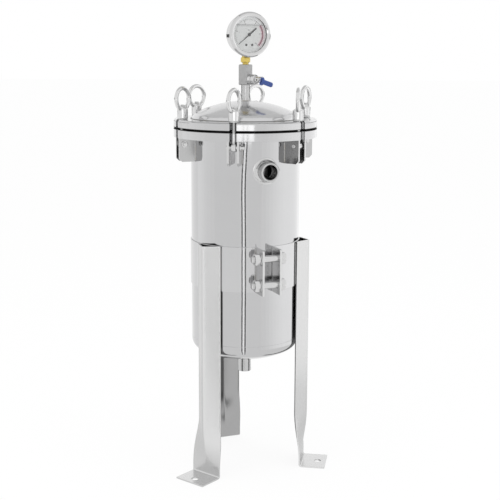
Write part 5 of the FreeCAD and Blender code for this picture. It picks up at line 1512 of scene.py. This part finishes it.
@dataclass
class Gauge:
    """The pressure gauge: case, bezel, window, dial with figures, pointer, liquid and plug."""

    palette: Palette
    turn: float = 23.0
    height: float = 885.12
    front: float = 16.3
    figures: tuple[str, ...] = ("0", "2", "4", "6", "8", "10")
    start: float = 220.0
    step: float = 54.0

    def housing(self) -> None:
        """The pressed case, the polished bezel with its rolled edge, the window and the plug."""
        seat = Seat(self.turn, height=self.height)
        case = Skin(seat)
        pressed = trace([(0.4, -9.5, 0.0), (39.0, -9.5, 5.0), (39.0, 17.5, 0.3), (37.8, 17.5, 0.3),
                         (37.8, -8.3, 3.8), (0.4, -8.3, 0.0)], closed=False, steps=9)
        case.grid(turned(pressed, Toward.OUT, 160))
        case.make("pressed_case", "housing", "gauge", self.palette, ["gauge_case"])
        back = self.front
        ring = trace([(39.02, back, 0.3), (44.0, back, 0.9), (44.0, back + 6.4, 2.6), (41.2, back + 9.5, 1.4),
                      (38.2, back + 9.5, 1.2), (35.2, back + 8.1, 0.4), (35.2, back + 7.3, 0.2),
                      (37.0, back + 7.3, 0.1), (37.0, back + 1.2, 0.1), (39.02, back + 1.2, 0.1)], steps=7)
        bezel = Skin(seat)
        bezel.grid(turned(ring, Toward.OUT, 180), rows_closed=True)
        bezel.make("rolled_bezel", "housing", "gauge", self.palette, ["gauge_bezel"])
        pane = Skin(seat)
        pane.grid(turned(trace([(0.3, back + 4.7, 0.0), (36.98, back + 4.7, 0.3), (36.98, back + 7.28, 0.3),
                                (0.3, back + 7.28, 0.0)], closed=False), Toward.OUT, 128))
        pane.make("window_pane", "housing", "glass", self.palette, ["gauge_window"])
        plug = Skin(seat)
        plug.grid(turned(trace([(0.3, 36.7, 0.0), (3.3, 36.7, 0.2), (3.3, 38.9, 0.1), (4.5, 39.0, 0.3),
                                (4.5, 41.6, 0.9), (0.3, 41.6, 0.0)], closed=False), Toward.UP, 48))
        plug.make("rubber_plug", "housing", "plug", self.palette, ["gauge_plug"])

    def face(self) -> None:
        """The dial, its two screws, its figures and the edge of the liquid behind the window."""
        seat = Seat(self.turn, height=self.height)
        dial = Skin(seat)
        dial.grid(turned(trace([(1.8, 16.8, 0.1), (1.8, 17.6, 0.1), (36.2, 17.6, 0.2), (36.2, 16.8, 0.2)]),
                         Toward.OUT, 128), rows_closed=True)
        dial.make("printed_dial", "housing", "dial", self.palette, ["gauge_dial"])
        screws = Skin(seat)
        head = trace([(0.3, 17.5, 0.0), (2.3, 17.5, 0.1), (2.3, 18.1, 0.3), (1.3, 18.25, 0.1),
                      (0.3, 17.9, 0.0)], closed=False)
        for beside in (-6.0, 6.6):
            screws.grid(turned(head, Toward.OUT, 32) + np.array([0.0, beside, -19.8]))
        screws.make("dial_screws", "housing", "pointer", self.palette)
        level, half = 18.2, 29.8
        edge = Skin(seat)
        film = trace([(17.65, -half, 0.1), (20.9, -half, 0.1), (20.9, half, 0.1), (17.65, half, 0.1)])
        edge.grid(prism(film, level, level + 0.7, 0.15))
        edge.make("liquid_level", "housing", "liquid", self.palette)
        self.lettering(seat)

    def lettering(self, seat: Seat) -> None:
        """The figures of the scale and its unit, as thin raised print.

        Args:
            seat: the gauge's seat.
        """
        words = [(figure, 22.2, self.start - self.step * place, 3.5)
                 for place, figure in enumerate(self.figures)]
        words.append(("bar", 9.0, 90.0, 3.6))
        points, faces, count = [], [], 0
        for word, reach, angle, size in words:
            curve = bpy.data.curves.new("figure", "FONT")
            curve.body = word
            curve.size = size
            curve.align_x = "CENTER"
            curve.align_y = "CENTER"
            curve.extrude = 0.03
            holder = bpy.data.objects.new("figure", curve)
            bpy.context.scene.collection.objects.link(holder)
            graph = bpy.context.evaluated_depsgraph_get()
            mesh = bpy.data.meshes.new_from_object(holder.evaluated_get(graph))
            flat = np.empty(len(mesh.vertices) * 3)
            mesh.vertices.foreach_get("co", flat)
            flat = flat.reshape(-1, 3)
            beside = flat[:, 0] + reach * math.cos(math.radians(angle))
            up = flat[:, 1] + reach * math.sin(math.radians(angle))
            points.append(np.stack([17.64 + flat[:, 2], beside, up], axis=1))
            faces += [[index + count for index in polygon.vertices] for polygon in mesh.polygons]
            count += len(flat)
            bpy.data.objects.remove(holder)
            bpy.data.meshes.remove(mesh)
        skin = Skin(seat)
        skin.add(np.concatenate(points), faces)
        skin.make("dial_figures", "housing", "ink", self.palette)

    def pointer(self) -> None:
        """The pointer: a thin tapered blade, a broad tail and a round hub."""
        angle = math.radians(self.start)
        turn = np.array([[math.cos(angle), math.sin(angle)], [-math.sin(angle), math.cos(angle)]])
        half = [(29.0, 0.3, 0.1), (4.0, 1.0, 0.3), (-3.0, 1.2, 0.3), (-6.0, 1.5, 0.4), (-19.5, 1.5, 0.5)]
        other = [(along, -beside, radius) for along, beside, radius in half]
        blade = trace([other[0], *half, *other[:0:-1]])
        skin = Skin(Seat(self.turn, height=self.height))
        skin.grid(prism(blade @ turn, 18.55, 19.25, 0.12, Toward.OUT))
        skin.grid(turned(trace([(0.3, 17.7, 0.0), (2.4, 17.7, 0.2), (3.4, 18.5, 0.4), (3.0, 19.8, 0.5),
                                (0.3, 20.0, 0.0)], closed=False), Toward.OUT, 40))
        skin.make("black_pointer", "pressure_pointer", "pointer", self.palette, ["gauge_pointer"])

    def build(self) -> None:
        """Build the gauge."""
        self.housing()
        self.face()
        self.pointer()


@dataclass
class FilterBag:
    """The felt bag inside its basket, with soft upright folds and a rounded bottom."""

    palette: Palette
    radius: float = 86.6
    low: float = 308.2
    high: float = 698.9

    def build(self) -> None:
        """Build the bag: its radius waves with the angle, less near the snap ring and the bottom."""
        angle = np.linspace(0.0, 2.0 * np.pi, 180, endpoint=False)
        up = np.concatenate([np.linspace(self.low + 14.0, self.high - 6.0, 60), [self.high]])
        free = np.clip((self.high - up) / 60.0, 0.0, 1.0)[:, None]
        broad = 1.3 * np.sin(9.0 * angle + 0.4 * np.sin(up[:, None] / 60.0))
        folds = broad + 0.7 * np.sin(23.0 * angle + 1.0)
        wall = self.radius - 0.8 + folds * free * 0.55
        turn_in = np.radians(np.linspace(4.0, 84.0, 14))[:, None]
        base = self.radius - 15.0 + 14.0 * np.cos(turn_in) + folds[:1] * 0.3 * np.cos(turn_in)
        base_up = np.broadcast_to(self.low + 14.0 - 14.0 * np.sin(turn_in), base.shape)
        outside = np.concatenate([np.stack([base[::-1], base_up[::-1]], -1),
                                  np.stack([wall, np.broadcast_to(up[:, None], wall.shape)], -1)])
        inside = outside[::-1] - np.array([2.0, 0.0])
        inside[-14:, :, 1] += 2.0
        rows = np.concatenate([outside, inside])
        grid = np.stack([rows[..., 0] * np.cos(angle), rows[..., 0] * np.sin(angle), rows[..., 1]], axis=-1)
        skin = Skin()
        skin.grid(grid)
        skin.make("felt_filter_bag", "housing", "felt", self.palette, ["filter_bag"])


@dataclass
class Studio:
    """Camera, floor, backdrop, lamps and the cards that the polished steel mirrors, in metres.

    Attributes:
        focal: focal length of the lens, in millimetres.
        stand_off: the camera's distance in front of the axis.
        eye: the camera's height above the floor.
        pitch: how far it looks down, in degrees.
        yaw: its turn about the upright, in degrees.
        roll: its turn about the view, in degrees.
        shell: radius of the shell that mirrors the window.
        spread: how fast a mirrored ray spreads with its distance from the shell.
        window: distance of the window's strips in front of the axis.
        window_spread: the spread that a ray has at that distance.
        side_radius: distance of the round side cards.
        wing_radius: distance of the dark wings.
    """

    focal: float = 74.34
    stand_off: float = 2.0872
    eye: float = 0.8529
    pitch: float = 10.89
    yaw: float = -0.286
    roll: float = 0.24
    shell: float = 0.1096
    spread: float = 2.0554
    window: float = 2.35
    window_spread: float = 4.714
    side_radius: float = 3.4
    wing_radius: float = 3.3

    def camera(self) -> None:
        """Set up the camera: pitched down, with a slight roll, and no shift or depth of field."""
        data = bpy.data.cameras.new("view")
        data.lens = self.focal
        data.sensor_width = 36.0
        data.dof.use_dof = False
        camera = bpy.data.objects.new("view", data)
        bpy.context.scene.collection.objects.link(camera)
        place = Matrix.Translation((0.0, -self.stand_off, self.eye))
        turn = Matrix.Rotation(math.radians(self.yaw), 4, "Z")
        tilt = Matrix.Rotation(math.radians(90.0 - self.pitch), 4, "X")
        camera.matrix_world = place @ turn @ tilt @ Matrix.Rotation(math.radians(self.roll), 4, "Z")
        bpy.context.scene.camera = camera

    def seen_white(self, maker: Maker, strength: float) -> tuple[Value, Value]:
        """A mask for camera, mirror and through-glass rays, and a white light of that strength."""
        rays = [maker.node("ShaderNodeLightPath", {}, {}, name)
                for name in ("Is Camera Ray", "Is Glossy Ray", "Is Transmission Ray")]
        mask = (rays[0] + rays[1] + rays[2]).rise(0.0, 0.5)
        light = maker.node("ShaderNodeEmission", {}, {"Color": WHITE, "Strength": strength})
        return mask, light

    def floor(self) -> None:
        """A white floor that keeps a faint shadow of the object."""
        side, level = 30.0, -0.0004
        mesh = bpy.data.meshes.new("studio_floor")
        corners = [(-side, -side, level), (side, -side, level), (side, side, level), (-side, side, level)]
        mesh.from_pydata(corners, [], [(0, 1, 2, 3)])
        floor = bpy.data.objects.new("studio_floor", mesh)
        bpy.context.scene.collection.objects.link(floor)
        maker = Maker("studio_white")
        mask, light = self.seen_white(maker, 1.0)
        paint = maker.node("ShaderNodeBsdfDiffuse", {}, {"Color": (0.96, 0.96, 0.96)})
        mixed = maker.node("ShaderNodeMixShader", {}, {0: mask * 0.9, 1: paint, 2: light})
        maker.tree.links.new(mixed.socket, maker.output.inputs["Surface"])
        mesh.materials.append(maker.material)

    def world(self) -> None:
        """A white surround for the eye and for mirrors, and a softer one for the light it gives."""
        world = bpy.data.worlds.new("studio")
        bpy.context.scene.world = world
        world.use_nodes = True
        tree = world.node_tree
        tree.nodes.clear()
        output = tree.nodes.new("ShaderNodeOutputWorld")
        path = tree.nodes.new("ShaderNodeLightPath")
        seen, given = [tree.nodes.new("ShaderNodeBackground") for _ in range(2)]
        for background, strength in ((seen, 1.0), (given, 0.92)):
            background.inputs["Color"].default_value = (*WHITE, 1.0)
            background.inputs["Strength"].default_value = strength
        either = tree.nodes.new("ShaderNodeMath")
        either.operation = "MAXIMUM"
        any_of = tree.nodes.new("ShaderNodeMath")
        any_of.operation = "MAXIMUM"
        mixed = tree.nodes.new("ShaderNodeMixShader")
        tree.links.new(path.outputs["Is Camera Ray"], either.inputs[0])
        tree.links.new(path.outputs["Is Glossy Ray"], either.inputs[1])
        tree.links.new(either.outputs[0], any_of.inputs[0])
        tree.links.new(path.outputs["Is Transmission Ray"], any_of.inputs[1])
        tree.links.new(any_of.outputs[0], mixed.inputs[0])
        tree.links.new(given.outputs[0], mixed.inputs[1])
        tree.links.new(seen.outputs[0], mixed.inputs[2])
        tree.links.new(mixed.outputs[0], output.inputs["Surface"])

    def lamp(self, name: str, place: Corner, size: tuple[float, float], radiance: float) -> None:
        """A flat panel lamp that faces the vessel's middle, by its brightness per area. No mirror sees it."""
        data = bpy.data.lights.new(name, "AREA")
        data.shape = "RECTANGLE"
        data.size, data.size_y = size
        data.energy = radiance * math.pi * size[0] * size[1]
        lamp = bpy.data.objects.new(name, data)
        bpy.context.scene.collection.objects.link(lamp)
        lamp.location = place
        aim = Matrix.Translation((0.0, 0.0, 0.45)).translation - lamp.location
        lamp.rotation_euler = aim.to_track_quat("-Z", "Y").to_euler()
        lamp.visible_camera = False
        lamp.visible_glossy = False

    def card(self, name: str, left: Sequence[Corner], right: Sequence[Corner], tone: float) -> None:
        """A strip between two lines of points, in metres, that only mirrors see, with its brightness."""
        count = len(left)
        mesh = bpy.data.meshes.new(name)
        faces = [(row, count + row, count + row + 1, row + 1) for row in range(count - 1)]
        mesh.from_pydata([*left, *right], [], faces)
        card = bpy.data.objects.new(name, mesh)
        bpy.context.scene.collection.objects.link(card)
        maker = Maker(name)
        light = maker.node("ShaderNodeEmission", {}, {"Color": WHITE, "Strength": tone})
        maker.tree.links.new(light.socket, maker.output.inputs["Surface"])
        mesh.materials.append(maker.material)
        card.visible_camera = False
        card.visible_diffuse = False
        card.visible_shadow = False
        card.visible_transmission = False

    def panel(self, name: str, across: tuple[float, float], up: tuple[float, float], away: float,
              tone: float) -> None:
        """An upright card that faces along Y, at a distance from the axis."""
        self.card(name, [(across[0], away, up[0]), (across[0], away, up[1])],
                  [(across[1], away, up[0]), (across[1], away, up[1])], tone)

    def bow(self, radius: float, first: float, last: float) -> list[tuple[float, float]]:
        """Points of an arc about the axis, between two directions in degrees, from the front to the right."""
        turns = np.radians(np.linspace(first, last, 24))
        return [(radius * math.sin(turn), -radius * math.cos(turn)) for turn in turns]

    def side(self, name: str, first: float, last: float, tone: float) -> None:
        """A tall round card between two directions in degrees, and a flat one inside it on the floor."""
        base, top, inward, flat = 0.001, 2.3, 0.21, 0.0012
        line = self.bow(self.side_radius, first, last)
        self.card(name, [(x, y, base) for x, y in line], [(x, y, top) for x, y in line], tone)
        self.card(f"{name}_floor", [(x * inward, y * inward, flat) for x, y in line],
                  [(x, y, flat) for x, y in line], tone)

    def window_lines(self) -> None:
        """The dark and bright strips of a window that the vessel's front mirrors, on towards its foot.

        Each strip runs down at the window's distance through the heights and middles of upright, and then
        along the floor to the vessel, narrower by the share that keeps it even in the mirror.
        """
        upright = ((0.5, -0.107), (0.48, -0.107), (0.36, -0.25), (0.28, -0.285), (0.06, -0.235),
                   (0.002, -0.227))
        edges = (-0.16, -0.05, 0.05, 0.215, 0.32, 0.42)
        tones = (1.08, 0.04, 1.4, 0.04, 1.08)
        for index, tone in enumerate(tones):
            sides = []
            for edge in edges[index:index + 2]:
                line = [(middle + edge, -self.window, up) for up, middle in upright]
                for step in np.linspace(2.2, 0.2, 21):
                    share = (self.shell + (step - self.shell) * self.spread) / self.window_spread
                    line.append(((upright[-1][1] + edge) * share, -step, 0.002))
                sides.append(line)
            self.card(f"window_strip_{index + 1}", sides[0], sides[1], tone)
        half = 0.025
        for index, middle in enumerate((-0.107, 0.13)):
            across = (middle - half, middle + half)
            self.panel(f"faint_strip_{index + 1}", across, (0.5, 0.8), -self.window, 1.3)

    def wings(self) -> None:
        """Dark upright cards behind the object on both sides, level with the cover, for round pieces."""
        low, high, tone = 0.58, 0.98, 0.1
        for name, first, last in (("dark_wing_right", 98.0, 158.0), ("dark_wing_left", -158.0, -98.0)):
            line = self.bow(self.wing_radius, first, last)
            self.card(name, [(x, y, low) for x, y in line], [(x, y, high) for x, y in line], tone)

    def ceiling(self) -> None:
        """A round grey reflector with a dark edge, high behind the vessel, which the dome mirrors."""
        turns = np.radians(np.linspace(0.0, 360.0, 49))
        right, back, height = -0.1, 1.05, 2.6
        wide, deep = 1.7, 1.35

        def ellipse(share: float) -> list[Corner]:
            """A loop at a share of the reflector's size."""
            return [(right + wide * share * math.cos(turn), back + deep * share * math.sin(turn), height)
                    for turn in turns]

        self.card("grey_reflector", ellipse(0.02), ellipse(1.0), 0.74)
        self.card("reflector_edge", ellipse(1.0), ellipse(1.06), 0.3)

    def build(self) -> None:
        """Set the stage."""
        self.camera()
        self.floor()
        self.world()
        self.lamp("left_panel", (-1.7, -1.3, 1.5), (1.0, 1.6), 1.0)
        self.lamp("right_panel", (1.8, -1.0, 1.4), (1.0, 1.6), 0.8)
        self.lamp("top_panel", (0.1, -0.3, 2.6), (1.5, 1.5), 1.1)
        self.window_lines()
        self.wings()
        self.ceiling()
        self.panel("bright_window", (-0.56, 0.56), (0.48, 0.75), -2.37, 1.95)
        turns = (-160.0, -118.0, -104.0, -96.0, -88.0, -78.0, -66.0,
                 34.0, 44.0, 52.0, 60.0, 68.0, 76.0, 86.0, 160.0)
        tones = (1.06, 1.15, 1.12, 1.08, 1.05, 1.025, 0.0, 1.03, 1.07, 1.12, 1.17, 1.21, 1.25, 1.28)
        for index, tone in enumerate(tones):
            if tone:
                self.side(f"side_card_{index + 1}", turns[index], turns[index + 1], tone)
        bpy.context.scene.view_settings.view_transform = "Standard"


def apply_modifiers(piece: bpy.types.Object) -> None:
    """Put a piece's modifiers into its mesh."""
    graph = bpy.context.evaluated_depsgraph_get()
    old = piece.data
    mesh = bpy.data.meshes.new_from_object(piece.evaluated_get(graph))
    mesh.name = old.name
    piece.modifiers.clear()
    piece.data = mesh
    bpy.data.meshes.remove(old)


def dress_nodes(nodes: dict[str, bpy.types.Object], palette: Palette) -> None:
    """Give each CAD node that stays in view its finish."""
    finishes = {"hinge_lugs": "cheek", "clamp_ears": "ear", "valve_lever": "bolt", "valve_ball": "bolt",
                "valve_seats": "seat", "gauge_movement": "brass", "bourdon_tube": "brass",
                "filter_basket": "sheet", "bag_ring": "sheet", "basket_seal": "gasket"}
    for name, finish in finishes.items():
        material = palette.get(finish)[0]
        node = nodes[name]
        for index in range(max(1, len(node.material_slots))):
            if not node.material_slots:
                node.data.materials.append(material)
            node.material_slots[index].material = material
        LOG.info("%s: %s", name, finish)


def main() -> None:
    """Load the frame, build and dress every piece, and set the stage."""
    logging.basicConfig(level=logging.INFO, format="%(message)s")
    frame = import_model()
    palette = Palette()
    vessel = Vessel(palette)
    closure = Closure(palette, vessel)
    for assembly in (vessel, closure, SwingBolts(palette, closure), Stand(palette), Fittings(palette),
                     Gauge(palette), FilterBag(palette), Studio()):
        assembly.build()
    dress_nodes(frame["nodes"], palette)


if __name__ == "__main__":
    main()
